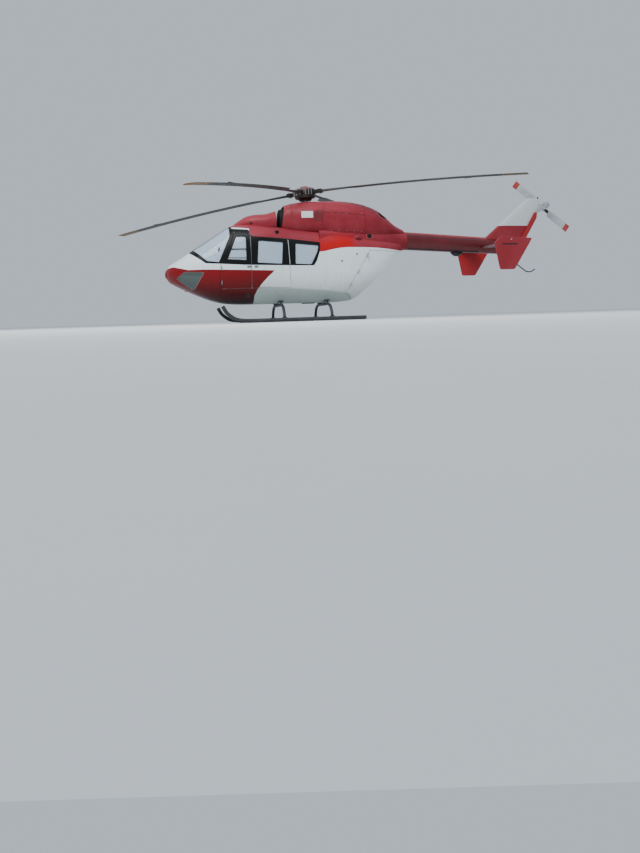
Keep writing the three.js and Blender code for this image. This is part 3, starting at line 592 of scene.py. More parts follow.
        mesh = mesh[within(mesh)]
        near = np.concatenate([
            np.linalg.norm(part[:, None] - edge, axis=-1).min(1)
            for part in np.array_split(mesh, max(1, len(mesh) // BLOCK))
        ])
        points = np.concatenate([edge, mesh[near > 0.4 * step]])
        starts = np.cumsum([0] + [len(line) for line in shrunk])
        edges = [
            (a + k, a + (k + 1) % (b - a)) for a, b in zip(starts[:-1], starts[1:]) for k in range(b - a)
        ]
        made = delaunay_2d_cdt([Vector(p) for p in points], edges, [], 0, 1e-7, False)
        points, faces = np.array([tuple(p) for p in made[0]]), np.array(made[2])
        faces = faces[within(points[faces].mean(1))]
        points = points / scale

        def sheet(depth: float, coat: int) -> Form:
            """The triangles at a depth under the skin."""
            place = self.surface(points[:, 0], points[:, 1], depth)
            return Form(place, faces.ravel(), np.full(len(faces), 3), np.full(len(faces), coat))

        forms = [sheet(inset, coats[0]), sheet(inset + wall, coats[1])]
        for line, pulled, seam in zip(flat, shrunk, seams):
            rows = [(pulled, 0), (line, bevel), (line, wall - bevel), (pulled, wall)]
            rings = np.stack([
                self.surface(row[:, 0], row[:, 1] / self.girth, inset + depth) for row, depth in rows
            ])
            ring = Form.grid(rings, coats[0])
            keep = np.tile(~seam, 3)
            worn = np.repeat([coats[0], coats[1], coats[1]], len(line))[keep]
            quads = ring.loops.reshape(-1, 4)[keep]
            forms.append(Form(ring.points, quads.ravel(), np.full(len(quads), 4), worn))
        return Form.join(*forms)

    def body(self, steps: int = 60, sides: int = 96, inset: float = 0.0, coat: int = 0) -> Form:
        """The whole body, closed at both ends."""
        station = np.linspace(self.rows[0][0], self.rows[-1][0], steps)[:, None]
        return Form.solid(self.surface(station, whole_turn(sides)[None], inset), coat)


# Cabin and rear pod, the engine deck, the fairing ahead of the intakes, the cowling and the boom:
# station, bottom, top, half width, power above the middle, power below it
POD = Hull((
    (-0.02, 1.12, 1.31, 0.095, 2, 2), (0.04, 1.03, 1.4, 0.26, 2, 2.1), (0.15, 0.955, 1.485, 0.41, 2.1, 2.3),
    (0.33, 0.86, 1.59, 0.54, 2.2, 2.5), (0.61, 0.725, 1.78, 0.66, 2.3, 2.8),
    (0.93, 0.59, 1.985, 0.735, 2.4, 3.1), (1.23, 0.5, 2.178, 0.775, 2.6, 3.4),
    (1.53, 0.46, 2.35, 0.79, 3, 3.8), (1.8, 0.45, 2.38, 0.795, 3.5, 4), (2.7, 0.45, 2.31, 0.795, 3.6, 4),
    (3.6, 0.45, 2.23, 0.79, 3.6, 4), (4.2, 0.46, 2.17, 0.775, 3.6, 3.8), (4.5, 0.515, 2.13, 0.735, 3.4, 3.4),
    (4.8, 0.725, 2.09, 0.67, 3.2, 3), (5.1, 0.983, 2.05, 0.58, 3, 2.8), (5.4, 1.26, 2.01, 0.455, 2.8, 2.6),
    (5.7, 1.56, 1.97, 0.3, 2.6, 2.4), (5.89, 1.745, 1.94, 0.19, 2.2, 2.2),
), dome=0.032)
DECK = Hull((
    (3.62, 1.7, 2.24, 0.72, 4, 4), (4, 1.7, 2.27, 0.62, 4, 3.6), (4.6, 1.69, 2.27, 0.56, 3.6, 3.2),
    (5.1, 1.68, 2.26, 0.46, 3, 3), (5.5, 1.69, 2.24, 0.35, 2.6, 2.6), (5.8, 1.725, 2.215, 0.27, 2.2, 2.2),
    (5.96, 1.74, 2.2, 0.23, 2, 2),
), girth=0.5)
FAIRING = Hull((
    (1.6, 2.2, 2.4, 0.16, 2.2, 2.2), (1.74, 2.17, 2.495, 0.29, 2.4, 2.4), (1.88, 2.15, 2.58, 0.375, 2.6, 2.6),
    (2.06, 2.12, 2.63, 0.44, 2.8, 2.8), (2.4, 2.1, 2.66, 0.47, 2.8, 2.8), (2.62, 2.1, 2.73, 0.44, 2.6, 2.6),
), girth=0.4)
COWLING = Hull((
    (2.71, 2.08, 2.815, 0.45, 2.6, 3), (2.95, 2.05, 2.89, 0.56, 2.6, 3), (3.26, 2.02, 2.94, 0.615, 2.7, 3),
    (3.7, 1.98, 2.96, 0.635, 2.8, 3), (4.3, 1.93, 2.96, 0.63, 2.8, 3), (4.78, 1.93, 2.89, 0.58, 2.7, 3),
    (5.2, 1.98, 2.73, 0.48, 2.6, 2.8), (5.42, 2.01, 2.56, 0.4, 2.5, 2.6),
    (5.64, 2.06, 2.375, 0.295, 2.4, 2.4), (5.78, 2.07, 2.3, 0.225, 2.3, 2.3),
    (5.9, 2.08, 2.243, 0.165, 2.2, 2.2),
), girth=0.55)
BOOM = Hull((
    (5.9604, 1.74, 2.16, 0.23, 2, 2), (7.4, 1.66, 2.06, 0.215, 2, 2), (8.93, 1.59, 1.96, 0.19, 2, 2),
), girth=0.2)
# Cover of the drive shaft along the boom's top, and the aerial's pod below it
SPINE = Hull((
    (5.9604, 2.05, 2.2, 0.08, 3, 3), (7.4, 1.95, 2.1, 0.075, 3, 3), (8.15, 1.9, 2.046, 0.06, 3, 3),
), girth=0.08)
BOOM_POD = Hull((
    (7.185, 1.655, 1.7, 0.025, 2, 2), (7.245, 1.59, 1.72, 0.075, 2, 2), (7.355, 1.56, 1.72, 0.09, 2, 2),
    (7.465, 1.59, 1.72, 0.075, 2, 2), (7.525, 1.65, 1.7, 0.025, 2, 2),
), girth=0.08)
# Where the mast stands, and how it leans
ROTOR = np.array([3.4, 0.0, 3.2])
MAST_TILT = math.radians(4.4)
MAST_WAY = np.array([-math.sin(MAST_TILT), 0.0, math.cos(MAST_TILT)])


class Livery:
    """The painted zones, as side views of stations and heights, and how far a point is inside each."""

    ZONES = {
        "red_low": [(-0.5, 1.32), (-0.02, 1.34), (0.14, 1.37), (0.49, 1.28), (0.88, 1.28), (2.51, 1.23),
                    (2.34, 1.08), (2.19, 0.92), (2.08, 0.78), (2.01, 0.64), (1.98, 0.3), (-0.5, 0.3)],
        "black_band": [(0.50, 1.72), (0.56, 1.67), (0.90, 1.425), (1.81, 1.37), (3.45, 1.33), (3.52, 1.44),
                       (3.60, 1.66), (3.62, 1.89), (2.88, 1.98), (2.01, 2.05), (1.93, 2.10), (1.93, 2.215),
                       (1.57, 2.245), (1.525, 2.26), (1.525, 2.60), (0.40, 2.60)],
        "red_high": [(1.46, 2.30), (1.94, 2.245), (1.90, 2.05), (3.55, 1.66), (3.59, 1.66), (3.74, 1.675),
                     (3.89, 1.71), (4.08, 1.745), (4.28, 1.765), (4.68, 1.768), (5.08, 1.76), (5.43, 1.735),
                     (5.78, 1.70), (6.2, 1.66), (6.2, 3.2), (1.46, 3.2)],
        "fresh_red": [(3.60, 1.64), (3.89, 1.70), (4.46, 1.76), (4.40, 1.99), (4.10, 2.03), (3.62, 1.91)],
        # Painted shade: the white turns grey-green below the line where the pod curves under
        "low_shade": [(1.5, 0.3), (1.5, 0.88), (2.33, 0.85), (3.75, 0.74), (4.35, 0.66), (4.6, 0.3)],
    }
    # Paint was masked off sharply, but these fade out over the distances or the slopes given: the fresh red,
    # the painted shade low on the white and the painted sky light
    MASKED = (-0.0012, 0.0012)
    FADED = {"fresh_red": (-0.16, 0.12), "low_shade": (-0.012, 0.03), "sky": (-0.35, 0.9)}

    @classmethod
    def measure(cls, mesh: bpy.types.Mesh) -> None:
        """Stores each zone's distances on a mesh, and how far up its skin looks.

        Args:
            mesh: A painted piece's mesh, in the frame.
        """
        count = len(mesh.vertices)
        points = np.empty(count * 3)
        mesh.vertices.foreach_get("co", points)
        points = points.reshape(-1, 3)
        side = np.stack([points[:, 0] - NOSE_X, points[:, 2]], -1)
        normals = np.empty(count * 3)
        mesh.vertex_normals.foreach_get("vector", normals)
        values = {name: edge_distance(side, np.array(zone)) for name, zone in cls.ZONES.items()}
        # How far up the skin looks, for the painted sky light and the fading on top
        values["sky"] = np.clip(normals.reshape(-1, 3)[:, 2], -1, 1)
        for name, value in values.items():
            layer = mesh.attributes.new(name, "FLOAT", "POINT")
            layer.data.foreach_set("value", value.astype(np.float32))


def per_metre(size_mm: float) -> float:
    """A pattern's scale, from the real size of what it draws."""
    return 1000 / size_mm


def add_node(tree: bpy.types.NodeTree, kind: str, sockets: dict | None = None, **settings) -> bpy.types.Node:
    """Adds a node with its settings, and gives each socket a value or a link.

    Args:
        tree: The material's tree.
        kind: The node's type, without the "ShaderNode" that each starts with.
        sockets: Values, or other nodes' sockets, by the input's name or number.
        **settings: The node's own settings.

    Returns:
        The node.
    """
    made = tree.nodes.new(f"ShaderNode{kind}")
    for key, value in settings.items():
        setattr(made, key, value)
    for key, value in (sockets or {}).items():
        if isinstance(value, bpy.types.NodeSocket):
            tree.links.new(value, made.inputs[key])
        else:
            made.inputs[key].default_value = value
    return made


@dataclass(frozen=True)
class Finish:
    """What a surface is made of. Each kind of finish writes its own nodes."""

    name: str

    def nodes(self, tree: bpy.types.NodeTree, shader: bpy.types.Node, spot: bpy.types.NodeSocket) -> None:
        """Writes the finish into a tree, around its shader and a socket with Object coordinates."""
        raise NotImplementedError

    @property
    def material(self) -> bpy.types.Material:
        """The finish as a material, made once."""
        found = bpy.data.materials.get(self.name)
        if found:
            return found
        made = bpy.data.materials.new(self.name)
        made.use_nodes = True
        tree = made.node_tree
        tree.nodes.clear()
        shader = add_node(tree, "BsdfPrincipled")
        add_node(tree, "OutputMaterial", {"Surface": shader.outputs[0]})
        spot = add_node(tree, "TexCoord").outputs["Object"]
        self.nodes(tree, shader, spot)
        return made


@dataclass(frozen=True)
class LiveryEnamel(Finish):
    """Sprayed two-pack enamel on riveted aluminium and glass fibre, paler on top: sun-faded, and lit by
    painted sky light.

    It gives the eye a soft gloss, chalky rose where the red has faded and painted sky light on faces that
    look up, painted shade low on the sides, and grime in streaks.
    Its specks are really under a millimetre, and they are drawn as coarse as they need to show.
    """

    white: int = 0xE3EDEE
    red: int = 0x7A0A13
    # Red near the bottom: darker as painted shade
    shaded_low_red: int = 0x1A0204
    deep: int = 0x740E18
    # Red on faces that look up: sun-faded, and paler still as painted sky light
    faded: int = 0x9A3540
    fresh: int = 0xBC0B0B
    black: int = 0x040506
    # White near the bottom: darker as painted shade
    dull: int = 0xB4BBB4
    # White below the pod's lower line: grey-green painted shade
    shade: int = 0x9CA8A3
    grime: int = 0x6B6A5F
    # Heights over which the painted shade near the bottom fades out
    low: tuple[float, float] = (0.5, 1.2)
    cloud_mm: float = 385.0
    speck_mm: float = 26.3
    streak_mm: tuple[float, float] = (64.9, 505.0)
    wave_mm: float = 222.0

    def nodes(self, tree: bpy.types.NodeTree, shader: bpy.types.Node, spot: bpy.types.NodeSocket) -> None:
        """Lays the zones over each other, with fading and painted sky light on faces that look up and painted
        shade low down, then grime and a slightly wavy skin.

        Args:
            tree: The material's tree.
            shader: Its shader.
            spot: A socket with Object coordinates.
        """
        cloudy = add_node(tree, "TexNoise",
                          {"Vector": spot, "Scale": per_metre(self.cloud_mm), "Detail": 5.0})
        speckle = add_node(tree, "TexNoise",
                           {"Vector": spot, "Scale": per_metre(self.speck_mm), "Detail": 6.0})
        wide, tall = (per_metre(size) for size in self.streak_mm)
        stretched = add_node(tree, "Mapping", {"Vector": spot, "Scale": (wide, wide, tall)})
        streaks = add_node(tree, "TexNoise",
                           {"Vector": stretched.outputs[0], "Scale": 1.0, "Detail": 4.0})
        masks = {}
        for zone in (*Livery.ZONES, "sky"):
            read = add_node(tree, "Attribute", attribute_name=zone)
            start, end = Livery.FADED.get(zone, Livery.MASKED)
            limits = {"Value": read.outputs["Fac"], "From Min": start, "From Max": end}
            masks[zone] = add_node(tree, "MapRange", limits).outputs[0]
        # Faces that look up turn paler: sun-faded paint with painted sky light, broken up by noise
        fade_and_sky_light = add_node(tree, "Math", {0: masks["sky"], 1: cloudy.outputs["Fac"]},
                          operation="ADD")
        fade_and_sky_light = add_node(tree, "MapRange",
                          {"Value": fade_and_sky_light.outputs[0], "From Min": 0.35, "From Max": 1.15}).outputs[0]
        high = add_node(tree, "Mix", {0: fade_and_sky_light, 6: srgb(self.deep), 7: srgb(self.faded)},
                        data_type="RGBA").outputs[2]
        high = add_node(tree, "Mix", {0: masks["fresh_red"], 6: high, 7: srgb(self.fresh)},
                        data_type="RGBA").outputs[2]
        # Darker towards the bottom: painted shade, on the red and on the white
        height = add_node(tree, "SeparateXYZ", {0: spot}).outputs[2]
        rise = add_node(tree, "MapRange",
                        {"Value": height, "From Min": self.low[0], "From Max": self.low[1]}).outputs[0]
        low = add_node(tree, "Mix", {0: rise, 6: srgb(self.shaded_low_red), 7: srgb(self.red)},
                       data_type="RGBA").outputs[2]
        colour = add_node(tree, "Mix", {0: rise, 6: srgb(self.dull), 7: srgb(self.white)},
                          data_type="RGBA").outputs[2]
        # Painted shade below the line where the pod curves under
        colour = add_node(tree, "Mix", {0: masks["low_shade"], 6: colour, 7: srgb(self.shade)},
                          data_type="RGBA").outputs[2]
        for mask, coat in (("red_low", low), ("red_high", high), ("black_band", srgb(self.black))):
            colour = add_node(tree, "Mix", {0: masks[mask], 6: colour, 7: coat},
                              data_type="RGBA").outputs[2]
        patchy = add_node(tree, "Math", {0: streaks.outputs["Fac"], 1: speckle.outputs["Fac"]},
                          operation="MULTIPLY")
        dirt = add_node(tree, "MapRange",
                        {"Value": patchy.outputs[0], "From Min": 0.27, "From Max": 0.5, "To Max": 0.24})
        colour = add_node(tree, "Mix", {0: dirt.outputs[0], 6: colour, 7: srgb(self.grime)},
                          data_type="RGBA", blend_type="MULTIPLY").outputs[2]
        tree.links.new(colour, shader.inputs["Base Color"])
        gloss = add_node(tree, "MapRange",
                         {"Value": speckle.outputs["Fac"], "From Min": 0.3, "From Max": 0.7,
                          "To Min": 0.3, "To Max": 0.5})
        tree.links.new(gloss.outputs[0], shader.inputs["Roughness"])
        wavy = add_node(tree, "TexNoise",
                        {"Vector": spot, "Scale": per_metre(self.wave_mm), "Detail": 1.0})
        skin = add_node(tree, "Bump",
                        {"Height": wavy.outputs["Fac"], "Strength": 0.35, "Distance": 0.01})
        tree.links.new(skin.outputs[0], shader.inputs["Normal"])
        shader.inputs["Specular IOR Level"].default_value = 0.22
        shader.inputs["Coat Weight"].default_value = 0.02
        shader.inputs["Coat Roughness"].default_value = 0.15


@dataclass(frozen=True)
class Enamel(Finish):
    """Sprayed enamel of one colour over primed metal or glass fibre, chalked by weather in patches.

    Above a height, where it has one, it is the livery's weathered white. Its grit is really under a
    millimetre, and it is drawn as coarse as it needs to show.
    """

    colour: int = 0x8C2029
    worn: int = 0xA4444B
    roughness: float = 0.38
    patch_mm: float = 588.0
    split: float | None = None
    above: int = 0xC9D1CF
    dust: int = 0x7A766E
    grit_mm: float = 18.2

    def nodes(self, tree: bpy.types.NodeTree, shader: bpy.types.Node, spot: bpy.types.NodeSocket) -> None:
        """Mixes fresh and weathered paint by slow noise, with fine dirt and a soft gloss.

        Args:
            tree: The material's tree.
            shader: Its shader.
            spot: A socket with Object coordinates.
        """
        cloudy = add_node(tree, "TexNoise",
                          {"Vector": spot, "Scale": per_metre(self.patch_mm), "Detail": 6.0})
        fine = add_node(tree, "TexNoise",
                        {"Vector": spot, "Scale": per_metre(self.grit_mm), "Detail": 5.0})
        share = add_node(tree, "MapRange",
                         {"Value": cloudy.outputs["Fac"], "From Min": 0.35, "From Max": 0.68})
        colour = add_node(tree, "Mix",
                          {0: share.outputs[0], 6: srgb(self.colour), 7: srgb(self.worn)},
                          data_type="RGBA").outputs[2]
        if self.split is not None:
            height = add_node(tree, "SeparateXYZ", {0: spot}).outputs[2]
            over = add_node(tree, "MapRange", {
                "Value": height, "From Min": self.split - 0.001, "From Max": self.split + 0.001})
            colour = add_node(tree, "Mix", {0: over.outputs[0], 6: colour, 7: srgb(self.above)},
                              data_type="RGBA").outputs[2]
        dirt = add_node(tree, "MapRange",
                        {"Value": fine.outputs["Fac"], "From Min": 0.5, "From Max": 0.75, "To Max": 0.25})
        colour = add_node(tree, "Mix", {0: dirt.outputs[0], 6: colour, 7: srgb(self.dust)},
                          data_type="RGBA", blend_type="MULTIPLY").outputs[2]
        tree.links.new(colour, shader.inputs["Base Color"])
        gloss = add_node(tree, "MapRange", {
            "Value": fine.outputs["Fac"], "From Min": 0.3, "From Max": 0.7,
            "To Min": self.roughness - 0.06, "To Max": self.roughness + 0.1})
        tree.links.new(gloss.outputs[0], shader.inputs["Roughness"])
        peel = add_node(tree, "Bump",
                        {"Height": fine.outputs["Fac"], "Strength": 0.12, "Distance": 0.002})
        tree.links.new(peel.outputs[0], shader.inputs["Normal"])


@dataclass(frozen=True)
class Clear(Finish):
    """Blown acrylic sheet for windows, made pale with a part-opaque tint: a painted reflection of the sky,
    bright all over.
    """

    # The windows' pale tint, and the share of light that does not pass, are painted reflection of the sky
    tint: int = 0xD2E4F4
    through: float = 0.4
    wipe_mm: float = 111.0

    def nodes(self, tree: bpy.types.NodeTree, shader: bpy.types.Node, spot: bpy.types.NodeSocket) -> None:
        """Sets a see-through sheet, its gloss broken by faint streaks."""
        shader.inputs["Base Color"].default_value = srgb(self.tint)
        shader.inputs["Transmission Weight"].default_value = self.through
        shader.inputs["IOR"].default_value = 1.45
        wiped = add_node(tree, "TexNoise",
                         {"Vector": spot, "Scale": per_metre(self.wipe_mm), "Detail": 3.0})
        haze = add_node(tree, "MapRange",
                        {"Value": wiped.outputs["Fac"], "To Min": 0.0, "To Max": 0.09})
        tree.links.new(haze.outputs[0], shader.inputs["Roughness"])


@dataclass(frozen=True)
class Plain(Finish):
    """A matt or satin surface of one stuff, such as rubber, moulded plastic or powder coat.

    Its grain is really under a millimetre, and it is drawn as coarse as it needs to show.
    """

    colour: int = 0x1B1C1E
    worn: int = 0x2C2D2F
    roughness: float = 0.6
    grain_mm: float = 6.25
    metallic: float = 0.0
    relief: float = 0.25
    stain_mm: float = 250.0

    def nodes(self, tree: bpy.types.NodeTree, shader: bpy.types.Node, spot: bpy.types.NodeSocket) -> None:
        """Varies the colour and the gloss with a fine grain, and raises it a little.

        Args:
            tree: The material's tree.
            shader: Its shader.
            spot: A socket with Object coordinates.
        """
        shader.inputs["Metallic"].default_value = self.metallic
        grain = add_node(tree, "TexNoise",
                         {"Vector": spot, "Scale": per_metre(self.grain_mm), "Detail": 5.0})
        broad = add_node(tree, "TexNoise",
                         {"Vector": spot, "Scale": per_metre(self.stain_mm), "Detail": 4.0})
        mixed = add_node(tree, "Math", {0: grain.outputs["Fac"], 1: broad.outputs["Fac"]},
                         operation="MULTIPLY")
        share = add_node(tree, "MapRange",
                         {"Value": mixed.outputs[0], "From Min": 0.14, "From Max": 0.4})
        colour = add_node(tree, "Mix",
                          {0: share.outputs[0], 6: srgb(self.colour), 7: srgb(self.worn)}, data_type="RGBA")
        tree.links.new(colour.outputs[2], shader.inputs["Base Color"])
        gloss = add_node(tree, "MapRange", {
            "Value": grain.outputs["Fac"], "From Min": 0.3, "From Max": 0.7,
            "To Min": self.roughness - 0.08, "To Max": self.roughness + 0.1})
        tree.links.new(gloss.outputs[0], shader.inputs["Roughness"])
        rough = add_node(tree, "Bump", {
            "Height": grain.outputs["Fac"], "Strength": self.relief, "Distance": 0.001})
        tree.links.new(rough.outputs[0], shader.inputs["Normal"])


@dataclass(frozen=True)
class Woven(Finish):
    """A twill of dyed thread: ribs of light and shade with a soft sheen.

    Real ribs are 1 to 2 mm apart, and they are drawn as coarse as they need to show.
    """

    colour: int = 0x2B3442
    worn: int = 0x414C5C
    rib_mm: float = 44.4
    fade_mm: float = 143.0

    def nodes(self, tree: bpy.types.NodeTree, shader: bpy.types.Node, spot: bpy.types.NodeSocket) -> None:
        """Crosses two bands of ribs, and fades the cloth in patches.

        A wave's bands lie TURN / (20 scale) apart, so the scale is TURN / 20 over the ribs' distance.

        Args:
            tree: The material's tree.
            shader: Its shader.
            spot: A socket with Object coordinates.
        """
        scale = TURN / 20 * per_metre(self.rib_mm)
        bands = []
        for axis, turn in (("X", 0.6), ("Z", -0.5)):
            placed = add_node(tree, "Mapping", {"Vector": spot, "Rotation": (turn, turn, 0.2)})
            bands.append(add_node(tree, "TexWave", {
                "Vector": placed.outputs[0], "Scale": scale, "Distortion": 0.4}, bands_direction=axis))
        woven = add_node(tree, "Math", {0: bands[0].outputs["Fac"], 1: bands[1].outputs["Fac"]},
                         operation="MULTIPLY")
        broad = add_node(tree, "TexNoise",
                         {"Vector": spot, "Scale": per_metre(self.fade_mm), "Detail": 5.0})
        share = add_node(tree, "Math", {0: woven.outputs[0], 1: broad.outputs["Fac"]},
                         operation="MULTIPLY")
        colour = add_node(tree, "Mix",
                          {0: share.outputs[0], 6: srgb(self.colour), 7: srgb(self.worn)}, data_type="RGBA")
        tree.links.new(colour.outputs[2], shader.inputs["Base Color"])
        weave = add_node(tree, "Bump",
                         {"Height": woven.outputs[0], "Strength": 0.5, "Distance": 0.001})
        tree.links.new(weave.outputs[0], shader.inputs["Normal"])
        shader.inputs["Roughness"].default_value = 0.9
        shader.inputs["Sheen Weight"].default_value = 0.3
        shader.inputs["Sheen Roughness"].default_value = 0.5


# Outer skin and what is painted on it
SKIN = LiveryEnamel("livery_enamel")
# Primer and soundproofing inside the panels: a flat pale grey
INSIDE = Plain("primed_aluminium_inside", 0x9EA3A2, 0xB0B4B2, 0.7, 11.1)
# Boom paint: the deepest red, darker than the livery as painted shade on the boom's sides and the
# stabiliser's underside; the drive cover on its top a paler red, sun-faded and lit by painted sky light
BOOM_SHADED_RED = Enamel("boom_enamel", 0x50040C, 0x660B16)
SPINE_SKYLIT_RED = Enamel("spine_enamel", 0x9A3A42, 0xA84E54)
# Fin paint: red at the foot and white above it; the endplates and the fin's rear cover
FIN_PAINT = Enamel("fin_enamel", 0x86141E, 0x93242E, split=2.35)
PLATE_RED = Enamel("endplate_enamel", 0x8E1822, 0x9A2A34)
COVER_RED = Enamel("cover_enamel", 0x9C0D14, 0xA82026)
# Blown acrylic: pale all over with painted reflection of the sky, and smoked in the chin
WINDOW = Clear("blown_acrylic")
CHIN_WINDOW = Clear("smoked_acrylic", 0x5C6967, 0.45)
# A repainted patch, a shade darker than the faded red around it
PATCH_RED = Enamel("patch_enamel", 0x5E0C14, 0x741822)
# Bare white enamel of blank plates and thin edges
WHITE_PAINT = Enamel("white_enamel", 0xDDE4E4, 0xCBD3D3, 0.35, 333.0)
BLACK_PAINT = Enamel("black_enamel", 0x08090B, 0x121417, 0.45, 200.0)
# Cast acrylic lenses of unlit lamps: a dull glow of their own colour
LENS_RED = Clear("red_lens", 0xB0201C, 0.5)
LENS_CLEAR = Clear("clear_lens", 0xE8DCD2, 0.6)
# Sealant around the chin panes, yellowed to a dull rose grey
SEALANT = Plain("aged_sealant", 0x7A6563, 0x94807C, 0.7, 8.3)
# Extruded rubber: matt black with a dusty bloom
RUBBER = Plain("extruded_rubber", 0x131416, 0x232427, 0.75, 4.5)
# Glass fibre blades in matt paint, with fine chalking along the span
BLADE_SKIN = Plain("blade_glass_fibre", 0x2C302E, 0x3C3E37, 0.55, 33.3)
BLADE_EDGE = Plain("blade_edge_titanium", 0x454743, 0x5A5A52, 0.45, 20.0, 0.6)
BLADE_TIP = Plain("blade_tip_enamel", 0x5E4420, 0x74562A, 0.5, 25.0)
# Forged and machined steel of the head: dark, oily grey
HEAD_METAL = Plain("forged_steel", 0x2A2320, 0x4A3F3A, 0.4, 8.3, 0.7)
BARE_METAL = Plain("machined_aluminium", 0x8F9497, 0xA7ABAD, 0.32, 7.1, 0.9)
HEAD_RED = Enamel("hub_cap_enamel", 0xA0373D, 0xB85A5C)
# Cast gear case in pale grey enamel, oily at its joints
CASE_GREY = Enamel("gear_case_enamel", 0xA9B0B2, 0x868D8F, 0.4, 71.4)
# Skid tubes in matt dark paint, scuffed
GEAR_PAINT = Plain("skid_paint", 0x24272A, 0x35383A, 0.55, 16.7)
# Tail rotor enamel: chalky light grey with red tips
TAIL_BLADE = Enamel("tail_blade_enamel", 0xBFC4C5, 0xA9AFB2, 0.4, 167.0)
TAIL_TIP = Enamel("tail_tip_enamel", 0xA8302C, 0xB84C46, 0.4, 167.0)
# Exhaust pipe: heat-stained steel, sooty inside; the same near-black is painted shade in the intake duct and
# on the fairing's rear end
SOOT_AND_SHADE = Plain("sooty_steel_and_shade", 0x0B0B0C, 0x1A1614, 0.85, 14.3, 0.2)
# Woven seat cloth: a twill of grey-blue thread
CLOTH = Woven("twill_cloth")
# Harness webbing: tight ribbed polyester
WEBBING = Woven("harness_webbing", 0x1C2D4A, 0x2A3F60, 31.6)
# Moulded plastics of the panel, its glass faces and their printed marks
PANEL_BLACK = Plain("moulded_panel", 0x17181A, 0x222326, 0.6, 5.0)
BEZEL = Plain("bezel_plastic", 0x0C0D0E, 0x17181A, 0.4, 4.5)
DIAL_FACE = Plain("dial_face", 0x050506, 0x0B0C0E, 0.25, 11.1)
DIAL_MARK = Plain("dial_mark_enamel", 0xD9DDD2, 0xC8CCC2, 0.5, 11.1)
# Rubber floor covering: a dull grey
FLOOR_GREY = Plain("studded_floor", 0x4B4F52, 0x5A5E60, 0.65, 12.5)


def make_piece(name: str, form: Form, body: str, coats: list[Finish],
               replaces: tuple[str, ...] = (), angle: float = 32.0) -> bpy.types.Object:
    """Makes one piece of the machine and lets it ride on a body.

    Args:
        name: The piece's name.
        form: Its points and faces, with stations along x.
        body: The body that it rides on.
        coats: Finishes, by the numbers that the faces wear.
        replaces: Nodes that it stands for.
        angle: Edges sharper than this stay sharp, in degrees.

    Returns:
        The piece's object.
    """
    mesh = bpy.data.meshes.new(name)
    mesh.vertices.add(len(form.points))
    mesh.vertices.foreach_set("co", (form.points + (NOSE_X, 0, 0)).ravel())
    mesh.loops.add(len(form.loops))
    mesh.loops.foreach_set("vertex_index", form.loops.astype(np.int32))
    mesh.polygons.add(len(form.sizes))
    starts = np.cumsum(form.sizes) - form.sizes
    mesh.polygons.foreach_set("loop_start", starts.astype(np.int32))
    mesh.polygons.foreach_set("material_index", form.coats.astype(np.int32))
    mesh.update(calc_edges=True)
    work = bmesh.new()
    work.from_mesh(mesh)
    bmesh.ops.remove_doubles(work, verts=work.verts, dist=1e-5)
    bmesh.ops.dissolve_degenerate(work, edges=work.edges, dist=1e-6)
    # Faces that fold onto each other on the machine's middle plane, and edges left without a face
    folded = [face for face in work.faces if any(len(edge.link_faces) > 2 for edge in face.edges)
              and all(abs(corner.co.y) < 1e-6 for corner in face.verts)]
    bmesh.ops.delete(work, geom=folded, context="FACES")
    bmesh.ops.delete(work, geom=[edge for edge in work.edges if not edge.link_faces], context="EDGES")
    bmesh.ops.recalc_face_normals(work, faces=work.faces)
    open_edges = sum(1 for edge in work.edges if len(edge.link_faces) != 2)
    work.to_mesh(mesh)
    work.free()
    for coat in coats:
        mesh.materials.append(coat.material)
    mesh.polygons.foreach_set("use_smooth", np.ones(len(mesh.polygons), bool))
    mesh.set_sharp_from_angle(angle=math.radians(angle))
    if SKIN in coats:
        Livery.measure(mesh)
    piece = bpy.data.objects.new(name, mesh)
    bpy.context.scene.collection.objects.link(piece)
    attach(piece, body)
    if replaces:
        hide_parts(*replaces)
    LOG.info("%s: %d faces, %d open edges", name, len(mesh.polygons), open_edges)
    return piece


